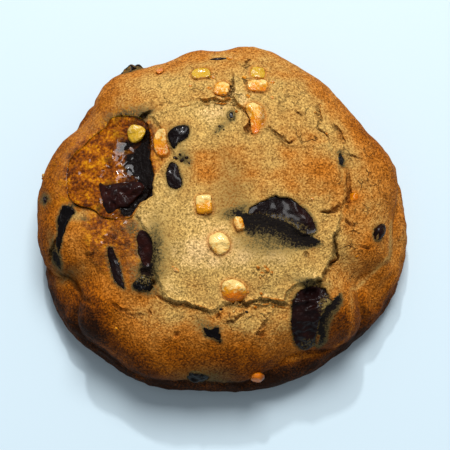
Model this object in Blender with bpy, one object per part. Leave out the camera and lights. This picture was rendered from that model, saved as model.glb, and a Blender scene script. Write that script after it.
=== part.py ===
# Chocolate orange cookie: a thick domed biscuit with dark chocolate pieces, candied orange
# pieces and a pool of orange caramel. Sizes are in millimetres and MM turns them into metres.
# The origin is the centre of the flat base, +X runs to the right and +Y to the back.

import math

import bmesh
import bpy
import numpy as np
from mathutils import Vector, noise

MM = 0.001
GAP = 0.4

# Driving sizes of the dough
HALF_LENGTH = 48.4
HALF_WIDTH = 45.2
TOP = 30.0
BELLY = 12.5
DOME_POWER = 2.3
FOOT_INSET = 4.5
SKIRT_HEIGHT = 5.0
SKIRT_TOP = 11.0
SKIRT_CLIMB = 5.5
SKIRT_INSET = 0.7

# The outline is an ellipse with lobes, each an angle, a half width in degrees and a height.
OUTLINE_LOBES = (
    (35, 16, -4.0),
    (5, 12, -0.4),
    (58, 12, -1.2),
    (80, 7, 0.55),
    (112, 10, -2.0),
    (92, 6, -1.2),
    (128, 8, 1.0),
    (148, 10, -1.4),
    (172, 8, 0.15),
    (190, 6, 0.2),
    (218, 16, 3.0),
    (244, 12, 1.8),
    (338, 16, 1.0),
)

# Where the upper mound stands back from the skirt below it, in the same terms.
FOLDS = (
    (355, 14, 4.3),
    (333, 9, 9.0),
    (296, 15, 4.9),
    (262, 18, 2.0),
    (208, 9, 7.0),
    (228, 12, 1.8),
    (145, 8, 2.0),
)

# Swellings and hollows of the top: x, y, half length, half width, turn in degrees, height.
LUMPS = (
    (2.0, -31.0, 22.0, 5.0, 4.0, 1.3),
    (29.0, -24.0, 6.0, 9.0, 10.0, 1.2),
    (36.0, -4.0, 6.0, 12.0, 8.0, 0.9),
    (26.0, 24.0, 12.0, 8.0, -50.0, 0.9),
    (-17.0, 30.0, 12.0, 5.0, 25.0, 0.8),
    (-34.0, -26.0, 9.0, 8.0, 60.0, 1.6),
    (-36.0, -8.0, 5.0, 7.0, 80.0, 0.7),
    (5.0, 33.0, 14.0, 4.0, 0.0, 0.5),
    (-29.0, 9.0, 11.0, 10.0, 40.0, -1.2),
    (12.0, -12.0, 12.0, 6.0, 0.0, 0.5),
)

# The pale crust plate in the middle stands up from the browner dough round it.
PLATE_RISE = 0.8
PLATE_EDGE = 1.2
PLATE_OUTLINE = (
    (-6.4, 27.2),
    (2.0, 27.2),
    (5.5, 24.2),
    (6.0, 19.3),
    (10.8, 20.8),
    (17.5, 16.2),
    (27.3, 16.6),
    (31.7, 4.2),
    (29.3, -6.2),
    (28.0, -11.4),
    (25.2, -19.0),
    (16.9, -21.9),
    (16.1, -25.3),
    (0.9, -25.5),
    (-3.0, -27.6),
    (-14.7, -23.9),
    (-17.2, -18.0),
    (-18.2, -10.0),
    (-22.1, -3.4),
    (-20.1, 0.8),
    (-17.1, 6.7),
    (-12.9, 12.8),
    (-18.6, 23.1),
    (-16.1, 25.2),
)

# Cracks: width, depth and the course over the top.
CRACKS = (
    (1.5, 1.8, ((-16.7, -21.7), (-14.7, -23.9), (-9.3, -25.5), (-4.8, -26.4), (-3.0, -27.6))),
    (1.4, 1.6, ((0.9, -25.5), (5.5, -24.6), (9.9, -24.8), (13.6, -24.6), (16.1, -25.5))),
    (1.4, 1.8, ((29.3, -6.2), (27.7, -8.2), (28.3, -13.0), (26.6, -15.0), (25.2, -19.0))),
    (1.2, 1.2, ((31.3, 9.6), (32.0, 3.9), (31.5, 0.8))),
    (1.4, 1.4, ((2.2, 35.2), (2.5, 31.1), (2.2, 28.0), (5.5, 24.2), (6.8, 20.9))),
    (1.4, 1.2, ((-6.4, 27.2), (2.0, 27.2))),
    (1.4, 1.4, ((10.8, 20.8), (14.6, 17.4), (18.4, 16.2))),
    (1.2, 0.9, ((24.2, 27.0), (24.6, 22.0), (27.3, 16.6))),
    (1.2, 0.9, ((-28.1, -24.9), (-25.3, -26.2), (-19.5, -28.0))),
)

# Chocolate pieces with a shape of their own: outline, height above the dough, depth below it
# and the slope of their top along x and y.
CHOCOLATE = {
    "chocolate_centre": (
        ((4.9, -1.8), (7.4, -0.3), (12.9, 2.5), (17.0, 1.8), (20.2, -0.4), (23.0, -3.6),
         (24.2, -7.6), (19.9, -8.2), (15.4, -9.0), (10.6, -8.9), (7.2, -6.1)),
        (-0.3, 3.5, 0.0, -0.14),
    ),
    "chocolate_lower_right": (
        ((16.9, -25.8), (17.3, -23.2), (19.4, -20.8), (22.6, -19.9), (25.8, -20.6), (27.2, -23.0),
         (27.0, -25.6), (25.0, -27.4), (23.6, -29.2), (23.4, -33.8), (21.7, -35.4), (18.9, -35.2),
         (17.0, -32.1)),
        (-0.1, 4.0, 0.0, -0.07),
    ),
    "chocolate_slot": (
        ((-21.0, -6.2), (-19.0, -7.0), (-17.7, -9.2), (-17.5, -13.1), (-18.3, -16.2),
         (-20.0, -15.0), (-21.3, -11.4), (-21.8, -8.4)),
        (-0.4, 3.0, 0.0, 0.05),
    ),
    "chocolate_slot_end": (
        ((-22.5, -20.1), (-21.7, -18.4), (-20.2, -17.4), (-18.4, -18.2), (-17.8, -19.7),
         (-18.4, -21.4), (-20.2, -21.9), (-22.0, -21.4)),
        (0.5, 2.0, 0.0, 0.0),
    ),
    "chocolate_strip": (
        ((-29.1, -10.0), (-27.6, -10.5), (-26.8, -12.7), (-25.6, -15.8), (-24.8, -19.6),
         (-23.7, -22.1), (-25.5, -21.2), (-27.6, -18.2), (-28.9, -14.1)),
        (-0.2, 2.0, 0.0, 0.0),
    ),
    "chocolate_in_caramel": (
        ((-31.8, 6.9), (-30.0, 5.0), (-25.4, 6.4), (-20.1, 5.7), (-19.6, 3.6), (-23.1, 0.4),
         (-27.9, -2.0), (-29.7, -2.0), (-30.7, 2.9)),
        (0.6, 2.2, 0.0, 0.05),
    ),
    "chocolate_hook": (
        ((-13.9, 18.4), (-11.4, 20.0), (-8.7, 20.2), (-8.6, 17.0), (-10.1, 16.2), (-11.6, 15.6),
         (-12.1, 13.6), (-13.2, 14.7)),
        (0.2, 2.0, 0.0, 0.0),
    ),
    "chocolate_by_hook": (
        ((-13.4, 10.8), (-11.4, 10.0), (-10.6, 6.6), (-10.3, 4.0), (-12.1, 3.3), (-13.8, 4.6),
         (-14.4, 7.7)),
        (0.1, 2.0, 0.0, 0.0),
    ),
    "chocolate_left_edge": (
        ((-41.1, 1.1), (-39.3, 0.4), (-36.6, -0.8), (-38.2, -1.6), (-39.4, -3.8), (-40.4, -7.0),
         (-41.4, -10.2), (-41.9, -11.6), (-42.4, -9.5), (-42.3, -6.0), (-41.8, -2.2)),
        (-0.2, 2.0, 0.0, 0.0),
    ),
    "chocolate_star": (
        ((-5.3, -30.3), (-3.0, -31.3), (-0.8, -30.1), (-1.0, -32.2), (-0.3, -34.6), (-2.3, -33.6),
         (-4.3, -33.2)),
        (0.1, 2.0, 0.0, 0.0),
    ),
}

# Candied orange pieces with a shape of their own, in the same terms.
ORANGE = {
    "orange_back_large": (
        ((5.3, 26.0), (7.3, 26.9), (9.8, 26.2), (10.8, 24.0), (10.6, 21.3), (9.3, 18.9),
         (8.0, 17.5), (6.7, 18.7), (7.0, 21.2), (6.2, 23.6)),
        (0.3, 2.6, 0.0, 0.0),
    ),
    "orange_in_caramel": (
        ((-24.2, 20.1), (-22.6, 21.1), (-20.6, 20.5), (-19.5, 19.1), (-20.3, 17.3), (-21.8, 16.3),
         (-23.6, 16.6), (-24.4, 18.3)),
        (0.9, 1.8, 0.0, 0.0),
    ),
    "orange_flap": (
        ((-17.8, 17.4), (-16.5, 19.5), (-14.7, 19.7), (-14.4, 17.2), (-14.0, 15.0), (-13.3, 12.9),
         (-15.9, 12.2), (-17.5, 14.0)),
        (0.7, 1.8, 0.0, 0.0),
    ),
    "orange_round": (
        ((-3.8, -9.2), (-2.6, -7.7), (-0.6, -7.2), (1.2, -8.7), (2.2, -10.7), (1.4, -12.2),
         (-0.6, -13.4), (-2.8, -12.2)),
        (1.5, 2.5, 0.0, 0.0),
    ),
    "orange_lower": (
        ((-0.6, -20.6), (0.9, -19.1), (3.7, -19.3), (5.7, -20.8), (5.7, -23.5), (3.7, -24.8),
         (1.2, -24.6), (-0.3, -23.0)),
        (1.6, 2.5, 0.0, 0.0),
    ),
}

# Small pieces: x, y, length, width, turn, height above the dough, depth below it, and how
# boxy they are, where 1 is round and 0.3 is nearly a block.
SMALL_ORANGE = {
    "orange_cube": (-4.8, -0.4, 4.2, 4.8, 4, 1.4, 2.2, 0.35),
    "orange_slab": (4.0, -5.2, 2.6, 4.0, 20, 0.9, 2.0, 0.4),
    "orange_back_yellow": (8.9, 35.3, 4.2, 3.6, -8, 0.5, 1.8, 0.5),
    "orange_back_row": (8.7, 31.3, 5.8, 3.6, 3, 0.6, 1.8, 0.45),
    "orange_back_left": (-0.3, 30.6, 4.0, 4.4, -15, 0.5, 1.8, 0.5),
    "orange_far_left": (-5.7, 35.0, 5.2, 3.6, 5, 0.3, 1.6, 0.6),
    "orange_far_small": (-16.4, 36.6, 2.2, 2.0, 20, 0.3, 1.4, 0.7),
    "orange_right_small": (33.0, 2.6, 2.6, 2.6, 0, 0.2, 1.4, 0.8),
}
SMALL_CHOCOLATE = {
    "chocolate_back_bit": (2.0, 22.9, 2.0, 2.8, 10, 0.2, 1.6, 0.7),
    "chocolate_right_chip": (29.8, 12.2, 1.9, 4.3, 10, 0.1, 1.8, 0.6),
}

# Pieces on the steep side: place, length, width, thickness, turn about +Z and tilt from flat.
SIDE_PIECES = {
    "chocolate_right_side": ("chocolate", (39.6, -6.2, 22.8), (5.4, 3.4, 2.4), 62, 38),
    "chocolate_front_side": ("chocolate", (-6.2, -41.8, 16.0), (7.0, 6.0, 2.6), 0, 70),
    "chocolate_back_rim": ("chocolate", (-24.0, 37.6, 15.5), (6.5, 4.6, 3.6), 30, 30),
    "orange_front_side": ("orange", (8.7, -42.1, 15.4), (4.2, 4.2, 2.4), 0, 70),
}

# The caramel pool: its border and how far its level lies under the dough round it.
CARAMEL_OUTLINE = (
    (-35.8, 16.4),
    (-33.3, 19.0),
    (-29.9, 21.5),
    (-28.9, 23.3),
    (-26.3, 23.8),
    (-21.9, 23.2),
    (-19.4, 21.2),
    (-18.6, 18.0),
    (-18.4, 12.0),
    (-17.4, 8.0),
    (-17.4, 1.8),
    (-20.6, 0.4),
    (-23.3, -3.2),
    (-29.7, -3.0),
    (-33.0, -0.6),
    (-37.0, 0.8),
    (-39.3, 3.5),
    (-39.9, 8.9),
    (-39.0, 13.2),
)
CARAMEL_LEVEL = -0.5
CARAMEL_DEPTH = 2.0

BASE_COLOURS = {
    "dough": ((0.42, 0.24, 0.09, 1.0), 0.75),
    "chocolate": ((0.025, 0.012, 0.010, 1.0), 0.3),
    "orange": ((0.62, 0.30, 0.05, 1.0), 0.3),
    "caramel": ((0.33, 0.11, 0.01, 1.0), 0.12),
}
CUBE_CUTS = 63
DOUGH_KEPT = 0.08
PROFILE_STEPS = 160
TABLE_TURNS = 720
TABLE_STEPS = 800
BASE_FROM = 128.0
CHOCOLATE_POWER = 0.6
ORANGE_POWER = 0.55
BIG_SEGMENTS = 16
SMALL_SEGMENTS = 12
BORDER_SEGMENTS = 32
PILLOW_RINGS = 6
UNEVENNESS = 0.8
CLEAR_ABOVE = 2.5


def lobe(angle, centre, half_width):
    """A smooth bulge round one angle, in degrees."""
    offset = (angle - centre + 180.0) % 360.0 - 180.0
    return np.exp(-((offset / half_width) ** 2))


def outline_radius(angle):
    """How far the dough reaches at an angle, seen from above."""
    turn = np.radians(angle)
    ellipse = 1.0 / np.hypot(np.cos(turn) / HALF_LENGTH, np.sin(turn) / HALF_WIDTH)
    lobes = sum(height * lobe(angle, centre, width) for centre, width, height in OUTLINE_LOBES)
    return ellipse + lobes


def mound_radius(angle):
    """The radius of the upper mound, which folds over the skirt."""
    folded = sum(depth * lobe(angle, centre, width) for centre, width, depth in FOLDS)
    return outline_radius(angle) - folded


def skirt_radius(angle):
    """The radius of the skirt, which only shows where the mound folds back."""
    fold = outline_radius(angle) - mound_radius(angle)
    return outline_radius(angle) - SKIRT_INSET * (1.0 - smooth_step(0.3, 1.5, fold))


def smooth_step(low, high, value):
    share = np.clip((value - low) / (high - low), 0.0, 1.0)
    return share * share * (3.0 - 2.0 * share)


def line_distance(x, y, points):
    """The distance from each x, y to a line through points, and the share of the way along it."""
    best = np.full(np.shape(x), 1e9)
    along = np.zeros(np.shape(x))
    pairs = list(zip(points[:-1], points[1:]))
    for index, ((ax, ay), (bx, by)) in enumerate(pairs):
        length_squared = (bx - ax) ** 2 + (by - ay) ** 2
        share = np.clip(((x - ax) * (bx - ax) + (y - ay) * (by - ay)) / length_squared, 0.0, 1.0)
        distance = np.hypot(x - ax - share * (bx - ax), y - ay - share * (by - ay))
        closer = distance < best
        best = np.where(closer, distance, best)
        along = np.where(closer, (index + share) / len(pairs), along)
    return best, along


def inside(x, y, outline):
    """True for each x, y that lies within the outline."""
    crossings = np.zeros(np.shape(x), dtype=int)
    for (ax, ay), (bx, by) in zip(outline, outline[1:] + outline[:1]):
        spans = (ay > y) != (by > y)
        edge = ax + (y - ay) * (bx - ax) / (by - ay if by != ay else 1e-9)
        crossings += spans & (x < edge)
    return crossings % 2 == 1


def edge_distance(x, y, outline):
    """The distance to the outline, negative within it."""
    distance, _ = line_distance(x, y, outline + outline[:1])
    return np.where(inside(x, y, outline), -distance, distance)


def relief(x, y):
    """How far the top stands out from the plain dome."""
    height = np.zeros(np.shape(x))
    for cx, cy, half_length, half_width, turn, rise in LUMPS:
        cosine, sine = math.cos(math.radians(turn)), math.sin(math.radians(turn))
        along = ((x - cx) * cosine + (y - cy) * sine) / half_length
        across = ((y - cy) * cosine - (x - cx) * sine) / half_width
        height = height + rise * np.exp(-(along**2 + across**2))
    plate = edge_distance(x, y, PLATE_OUTLINE)
    height = height + PLATE_RISE * (1.0 - smooth_step(-PLATE_EDGE, 0.0, plate))
    for width, depth, course in CRACKS:
        distance, along = line_distance(x, y, course)
        taper = np.clip(4.0 * np.minimum(along, 1.0 - along) + 0.3, 0.0, 1.0)
        height = height - depth * taper * np.clip(1.0 - distance / width, 0.0, 1.0)
    return height


def surface_height(x, y):
    """The height of the top at x, y."""
    reach = np.hypot(x, y) / mound_radius(np.degrees(np.arctan2(y, x)))
    dome = np.clip(1.0 - reach**DOME_POWER, 0.0, 1.0) ** (1.0 / DOME_POWER)
    return BELLY + (TOP - BELLY) * dome + relief(x, y)


def skirt_side(angle, height):
    """The skirt's radius at a height. It climbs higher where the mound folds far back."""
    mound = mound_radius(angle)
    skirt = skirt_radius(angle)
    fold = outline_radius(angle) - mound
    crease = SKIRT_TOP + SKIRT_CLIMB * smooth_step(1.5, 6.0, fold)
    above = np.clip((height - SKIRT_HEIGHT) / (crease - SKIRT_HEIGHT), 0.0, 1.0)
    below = np.clip((SKIRT_HEIGHT - height) / SKIRT_HEIGHT, 0.0, 1.0)
    radius = skirt - (skirt - mound + 2.5) * (1.0 - np.sqrt(1.0 - above**2))
    radius = radius - 0.5 * FOOT_INSET * (1.0 - np.sqrt(1.0 - below**2))
    return np.where(height < crease, radius, 0.0)


def side_profile(angle):
    """Radius and height down one side, from the top's centre to the base's centre."""
    mound = mound_radius(angle)
    turn = np.linspace(0.0, math.pi / 2, PROFILE_STEPS)
    dome_radius = mound * np.sin(turn) ** (2.0 / DOME_POWER)
    dome_height = BELLY + (TOP - BELLY) * np.cos(turn) ** (2.0 / DOME_POWER)
    dome_radius = np.maximum(dome_radius, skirt_side(angle, dome_height))
    height = BELLY * (1.0 - np.linspace(0.0, 1.0, PROFILE_STEPS)[1:] ** 1.5)
    under = np.sqrt(1.0 - ((BELLY - height) / BELLY) ** 2)
    mound_side = mound - FOOT_INSET * (1.0 - under)
    side_radius = np.maximum(mound_side, skirt_side(angle, height))
    radius = np.concatenate([dome_radius, side_radius])
    return radius, np.concatenate([dome_height, height])


def side_table():
    """Radius and height at even steps down the side, for each half degree round the dough."""
    even = np.linspace(0.0, 1.0, TABLE_STEPS + 1)
    radii, heights = [], []
    for angle in np.arange(0.0, 360.0, 360.0 / TABLE_TURNS):
        radius, height = side_profile(angle)
        length = np.concatenate([[0.0], np.cumsum(np.hypot(np.diff(radius), np.diff(height)))])
        radii.append(np.interp(even * length[-1], length, radius))
        heights.append(np.interp(even * length[-1], length, height))
    return np.array(radii), np.array(heights)


def dough_points(directions):
    """Moves the points of a unit sphere onto the dough."""
    azimuth = np.degrees(np.arctan2(directions[:, 1], directions[:, 0])) % 360.0
    polar = np.degrees(np.arccos(np.clip(directions[:, 2], -1.0, 1.0)))
    turn = azimuth * TABLE_TURNS / 360.0
    row = np.floor(turn).astype(int)
    row_share = turn - row
    step = np.clip(polar / BASE_FROM, 0.0, 1.0) * TABLE_STEPS
    column = np.minimum(np.floor(step).astype(int), TABLE_STEPS - 1)
    column_share = step - column

    def blended(table):
        each = np.arange(len(column))
        lines = []
        for offset in (0, 1):
            picked = table[(row + offset) % TABLE_TURNS]
            start, end = picked[each, column], picked[each, column + 1]
            lines.append(start * (1.0 - column_share) + end * column_share)
        return lines[0] * (1.0 - row_share) + lines[1] * row_share

    radii, heights = side_table()
    radius, height = blended(radii), blended(heights)
    base_share = np.clip((180.0 - polar) / (180.0 - BASE_FROM), 0.0, 1.0)
    radius = radius * base_share
    height = np.where(base_share < 1.0, 0.0, height)
    x, y = radius * np.cos(np.radians(azimuth)), radius * np.sin(np.radians(azimuth))
    top_share = smooth_step(BELLY, BELLY + 5.0, height)
    return np.column_stack([x, y, height + relief(x, y) * top_share])


def material(name):
    colour, roughness = BASE_COLOURS[name]
    made = bpy.data.materials.new(name)
    made.use_nodes = True
    shader = made.node_tree.nodes["Principled BSDF"]
    shader.inputs["Base Color"].default_value = colour
    shader.inputs["Roughness"].default_value = roughness
    shader.inputs["Metallic"].default_value = 0.0
    return made


def add_object(name, mesh, collection, surface=None):
    made = bpy.data.objects.new(name, mesh)
    collection.objects.link(made)
    if surface:
        mesh.materials.append(surface)
    mesh.shade_smooth()
    return made


def add_cutter(name, mesh, collection):
    made = add_object(name, mesh, collection)
    made.hide_render = True
    made.display_type = "WIRE"
    return made


def turned_area(points):
    """Twice the area within a closed line, negative where it runs clockwise."""
    ahead = np.roll(points, -1, axis=0)
    return np.sum(points[:, 0] * ahead[:, 1] - points[:, 1] * ahead[:, 0])


def smooth_stretch(before, start, end, after, share):
    """Points between start and end on the smooth line through all four, for shares of the way."""
    straight = 2 * start + (end - before) * share
    bend = (2 * before - 5 * start + 4 * end - after) * share**2
    swing = (3 * start - before - 3 * end + after) * share**3
    return 0.5 * (straight + bend + swing)


def even_outline(outline, count):
    """A smooth closed line through the outline's points, as evenly spaced points."""
    points = np.array(outline)
    if turned_area(points) < 0:
        points = points[::-1]
    share = np.linspace(0.0, 1.0, 9)[:-1, None]
    stretches = []
    for index in range(len(points)):
        around = [points[(index + offset) % len(points)] for offset in (-1, 0, 1, 2)]
        stretches.append(smooth_stretch(*around, share))
    dense = np.concatenate(stretches + [stretches[0][:1]])
    steps = np.diff(dense, axis=0)
    length = np.concatenate([[0.0], np.cumsum(np.hypot(steps[:, 0], steps[:, 1]))])
    wanted = np.arange(count) / count * length[-1]
    x = np.interp(wanted, length, dense[:, 0])
    y = np.interp(wanted, length, dense[:, 1])
    return np.column_stack([x, y])


def grown(outline, by):
    """The outline moved outwards by a distance."""
    ahead = np.roll(outline, -1, axis=0) - np.roll(outline, 1, axis=0)
    outward = np.column_stack([ahead[:, 1], -ahead[:, 0]])
    outward /= np.linalg.norm(outward, axis=1, keepdims=True)
    return outline + outward * by


def pillow(name, outline, up, down, slope=(0.0, 0.0), power=0.6, unevenness=0.0):
    """A cushion with the given outline that follows the top: a sphere drawn out to the outline."""
    segments = len(outline)
    centre = outline.mean(axis=0)
    mesh = bpy.data.meshes.new(name)
    ball = bmesh.new()
    bmesh.ops.create_uvsphere(ball, u_segments=segments, v_segments=PILLOW_RINGS, radius=1.0)
    for vert in ball.verts:
        polar = math.acos(max(-1.0, min(1.0, vert.co.z)))
        column = round(math.atan2(vert.co.y, vert.co.x) / math.tau * segments) % segments
        reach = math.sin(polar) ** power if 1e-4 < polar < math.pi - 1e-4 else 0.0
        x, y = centre + reach * (outline[column] - centre)
        level = abs(math.cos(polar)) ** power
        rise = up * level if vert.co.z > 0 else -down * level
        rise += slope[0] * (x - centre[0]) + slope[1] * (y - centre[1])
        if vert.co.z > 0.1:
            rise += unevenness * noise.noise(Vector((x, y, 0.0)) * 0.45)
        vert.co = Vector((x, y, float(surface_height(x, y)) + rise)) * MM
    ball.to_mesh(mesh)
    ball.free()
    return mesh


def rounded_block_outline(x, y, length, width, turn, power):
    """The outline of a small piece: from an ellipse at power 1 to nearly a rectangle."""
    angles = np.arange(SMALL_SEGMENTS) / SMALL_SEGMENTS * math.tau
    along = np.sign(np.cos(angles)) * np.abs(np.cos(angles)) ** power * length / 2
    across = np.sign(np.sin(angles)) * np.abs(np.sin(angles)) ** power * width / 2
    cosine, sine = math.cos(math.radians(turn)), math.sin(math.radians(turn))
    return np.column_stack([x + along * cosine - across * sine, y + along * sine + across * cosine])


def flattened_base(mesh):
    """Sets the points that lie on the base to exactly zero height."""
    for vert in mesh.vertices:
        if vert.co.z < 0.02 * MM:
            vert.co.z = 0.0


def evaluated_mesh(item):
    graph = bpy.context.evaluated_depsgraph_get()
    return bpy.data.meshes.new_from_object(item.evaluated_get(graph))


def make_dough(parts, surface):
    """The dough: a finely cut cube drawn out to the form, then thinned to fewer triangles."""
    mesh = bpy.data.meshes.new("dough")
    cube = bmesh.new()
    bmesh.ops.create_cube(cube, size=2.0)
    bmesh.ops.subdivide_edges(cube, edges=cube.edges[:], cuts=CUBE_CUTS, use_grid_fill=True)
    corners = np.array([vert.co[:] for vert in cube.verts])
    # The tangent spreads the grid evenly once it is drawn onto a ball.
    spread = np.tan(corners * math.pi / 4)
    directions = spread / np.linalg.norm(spread, axis=1, keepdims=True)
    for vert, point in zip(cube.verts, dough_points(directions)):
        vert.co = Vector(point) * MM
    bmesh.ops.recalc_face_normals(cube, faces=cube.faces)
    cube.to_mesh(mesh)
    cube.free()
    dough = add_object("dough", mesh, parts, surface)
    thinner = dough.modifiers.new("fewer triangles", "DECIMATE")
    thinner.ratio = DOUGH_KEPT
    thinned = evaluated_mesh(dough)
    dough.modifiers.remove(thinner)
    flattened_base(thinned)
    dough.data = thinned
    return dough


def cut(item, cutter, solver="EXACT"):
    boolean = item.modifiers.new(f"cut by {cutter.name}", "BOOLEAN")
    boolean.operation = "DIFFERENCE"
    boolean.solver = solver
    boolean.object = cutter


def top_pieces():
    """Name, outline, shape, roundness and kind of every piece that lies in the top."""
    listed = []
    for name, (outline, shape) in CHOCOLATE.items():
        smooth = even_outline(outline, BIG_SEGMENTS)
        listed.append((name, smooth, shape, CHOCOLATE_POWER, "chocolate"))
    for name, (outline, shape) in ORANGE.items():
        smooth = even_outline(outline, BIG_SEGMENTS)
        listed.append((name, smooth, shape, ORANGE_POWER, "orange"))
    for kind, table in (("orange", SMALL_ORANGE), ("chocolate", SMALL_CHOCOLATE)):
        for name, (x, y, length, width, turn, up, down, power) in table.items():
            outline = rounded_block_outline(x, y, length, width, turn, power)
            listed.append((name, outline, (up, down, 0.0, 0.0), power, kind))
    return listed


def make_top_pieces(parts, cutters, surfaces):
    """Every piece that lies in the top, and the cutter of its hollow."""
    made = {}
    for name, outline, (up, down, *slope), power, kind in top_pieces():
        piece = pillow(name, outline, up, down, slope, power, UNEVENNESS)
        add_object(name, piece, parts, surfaces[kind])
        room = grown(outline, GAP)
        clear = max(up, 0.0) + CLEAR_ABOVE
        hollow = pillow(f"hollow {name}", room, clear, down + GAP, slope, power)
        made[name] = add_cutter(f"hollow {name}", hollow, cutters)
    return made


def oval_mesh(name, size, growth=0.0):
    """An oval ball of the given size, grown on every side by half of growth."""
    mesh = bpy.data.meshes.new(name)
    ball = bmesh.new()
    bmesh.ops.create_icosphere(ball, subdivisions=2, radius=0.5)
    for vert in ball.verts:
        vert.co = Vector([(side + growth) * MM * part for side, part in zip(size, vert.co)])
    ball.to_mesh(mesh)
    ball.free()
    return mesh


def make_side_pieces(parts, cutters, surfaces):
    """Pieces half sunk in the steep side, and the cutters of their hollows."""
    made = {}
    for name, (kind, place, size, turn, tilt) in SIDE_PIECES.items():
        hollow = f"hollow {name}"
        piece = add_object(name, oval_mesh(name, size), parts, surfaces[kind])
        made[name] = add_cutter(hollow, oval_mesh(hollow, size, 2 * GAP), cutters)
        for item in (piece, made[name]):
            item.location = Vector(place) * MM
            item.rotation_euler = (math.radians(tilt), 0.0, math.radians(turn))
    return made


def main():
    for item in list(bpy.data.objects):
        bpy.data.objects.remove(item)
    parts = bpy.data.collections.new("chocolate orange cookie")
    cutters = bpy.data.collections.new("cutters")
    bpy.context.scene.collection.children.link(parts)
    bpy.context.scene.collection.children.link(cutters)
    surfaces = {name: material(name) for name in BASE_COLOURS}
    dough = make_dough(parts, surfaces["dough"])
    hollows = make_top_pieces(parts, cutters, surfaces)
    hollows.update(make_side_pieces(parts, cutters, surfaces))
    border = even_outline(CARAMEL_OUTLINE, BORDER_SEGMENTS)
    pool = pillow("caramel_pool", border, CARAMEL_LEVEL, CARAMEL_DEPTH, power=0.3)
    pool = add_object("caramel_pool", pool, parts, surfaces["caramel"])
    basin = pillow("hollow caramel_pool", grown(border, GAP), CLEAR_ABOVE, CARAMEL_DEPTH + GAP,
                   power=0.3)
    hollows["caramel_pool"] = add_cutter("hollow caramel_pool", basin, cutters)
    for name in ("chocolate_in_caramel", "orange_in_caramel", "orange_flap"):
        cut(pool, hollows[name])
    # The exact solver loses the dough once many hollows are cut from it one after another.
    for hollow in hollows.values():
        cut(dough, hollow, "MANIFOLD")


main()
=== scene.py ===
import math

import bpy
import numpy as np
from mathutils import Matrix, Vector
from mathutils.bvhtree import BVHTree


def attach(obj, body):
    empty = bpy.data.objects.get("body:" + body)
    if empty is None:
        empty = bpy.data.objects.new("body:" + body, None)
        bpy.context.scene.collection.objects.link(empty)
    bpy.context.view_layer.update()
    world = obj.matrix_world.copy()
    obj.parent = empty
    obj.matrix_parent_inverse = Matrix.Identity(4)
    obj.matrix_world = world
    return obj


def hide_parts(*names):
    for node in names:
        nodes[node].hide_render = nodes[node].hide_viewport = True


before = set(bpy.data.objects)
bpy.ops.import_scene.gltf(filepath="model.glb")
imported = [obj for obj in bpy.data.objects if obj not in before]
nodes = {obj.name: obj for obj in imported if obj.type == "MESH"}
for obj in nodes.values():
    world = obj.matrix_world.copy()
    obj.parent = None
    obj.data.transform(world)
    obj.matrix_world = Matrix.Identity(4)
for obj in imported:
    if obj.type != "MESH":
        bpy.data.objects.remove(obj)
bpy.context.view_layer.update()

# Looks of the chocolate orange cookie. Places and sizes are in millimetres, like the real
# cookie's, and mm turns them into the scene's metres. +Y is the top of the photograph.

mm = 0.001
bpy.ops.object.select_all(action="DESELECT")


# Numbers over the surface

def softNoise(points, cell, seed):
    # smooth noise from -1 to 1 with bumps about one cell wide
    scaled = points / cell
    base = np.floor(scaled).astype(np.int64)
    part = scaled - base
    part = part * part * (3.0 - 2.0 * part)
    total = np.zeros(len(points))
    for corner in np.ndindex(2, 2, 2):
        place = base + corner
        mixed = place[:, 0] * 73856093 ^ place[:, 1] * 19349663 ^ place[:, 2] * 83492791
        mixed = (mixed + seed * 668265263) & 0xFFFFFFFF
        mixed = (mixed ^ (mixed >> 15)) * 2246822519 & 0xFFFFFFFF
        mixed = (mixed ^ (mixed >> 13)) * 3266489917 & 0xFFFFFFFF
        value = ((mixed ^ (mixed >> 16)) & 0xFFFF) / 32767.5 - 1.0
        weight = np.where(np.array(corner), part, 1.0 - part).prod(axis=1)
        total += value * weight
    return total


def smoothStep(low, high, value):
    share = np.clip((value - low) / (high - low), 0.0, 1.0)
    return share * share * (3.0 - 2.0 * share)


def lobe(angle, centre, halfWidth, height):
    offset = (angle - centre + 180.0) % 360.0 - 180.0
    return height * np.exp(-((offset / halfWidth) ** 2))


def lineDistance(x, y, points):
    # distance to a line through points, the share of the way along it, and 1 on its right side
    # or -1 on its left
    best = np.full(np.shape(x), 1e9)
    along, side = np.zeros(np.shape(x)), np.zeros(np.shape(x))
    pairs = list(zip(points[:-1], points[1:]))
    for index, ((ax, ay), (bx, by)) in enumerate(pairs):
        lengthSquared = (bx - ax) ** 2 + (by - ay) ** 2
        share = np.clip(((x - ax) * (bx - ax) + (y - ay) * (by - ay)) / lengthSquared, 0.0, 1.0)
        distance = np.hypot(x - ax - share * (bx - ax), y - ay - share * (by - ay))
        closer = distance < best
        best = np.where(closer, distance, best)
        along = np.where(closer, (index + share) / len(pairs), along)
        turned = (y - ay) * (bx - ax) - (x - ax) * (by - ay)
        side = np.where(closer, -np.sign(turned), side)
    return best, along, side


def isInside(x, y, outline):
    crossings = np.zeros(np.shape(x), dtype=int)
    for (ax, ay), (bx, by) in zip(outline, outline[1:] + outline[:1]):
        spans = (ay > y) != (by > y)
        edge = ax + (y - ay) * (bx - ax) / (by - ay if by != ay else 1e-9)
        crossings += spans & (x < edge)
    return crossings % 2 == 1


def edgeDistance(x, y, outline):
    # distance to a closed outline, negative within it
    distance = lineDistance(x, y, outline + outline[:1])[0]
    return np.where(isInside(x, y, outline), -distance, distance)


def spot(x, y, cx, cy, halfLength, halfWidth=None, turn=0.0):
    # a soft round or long spot, 1 in its middle
    halfWidth = halfWidth or halfLength
    cosine, sine = math.cos(math.radians(turn)), math.sin(math.radians(turn))
    along = ((x - cx) * cosine + (y - cy) * sine) / halfLength
    across = ((y - cy) * cosine - (x - cx) * sine) / halfWidth
    return np.exp(-(along**2 + across**2))


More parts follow.
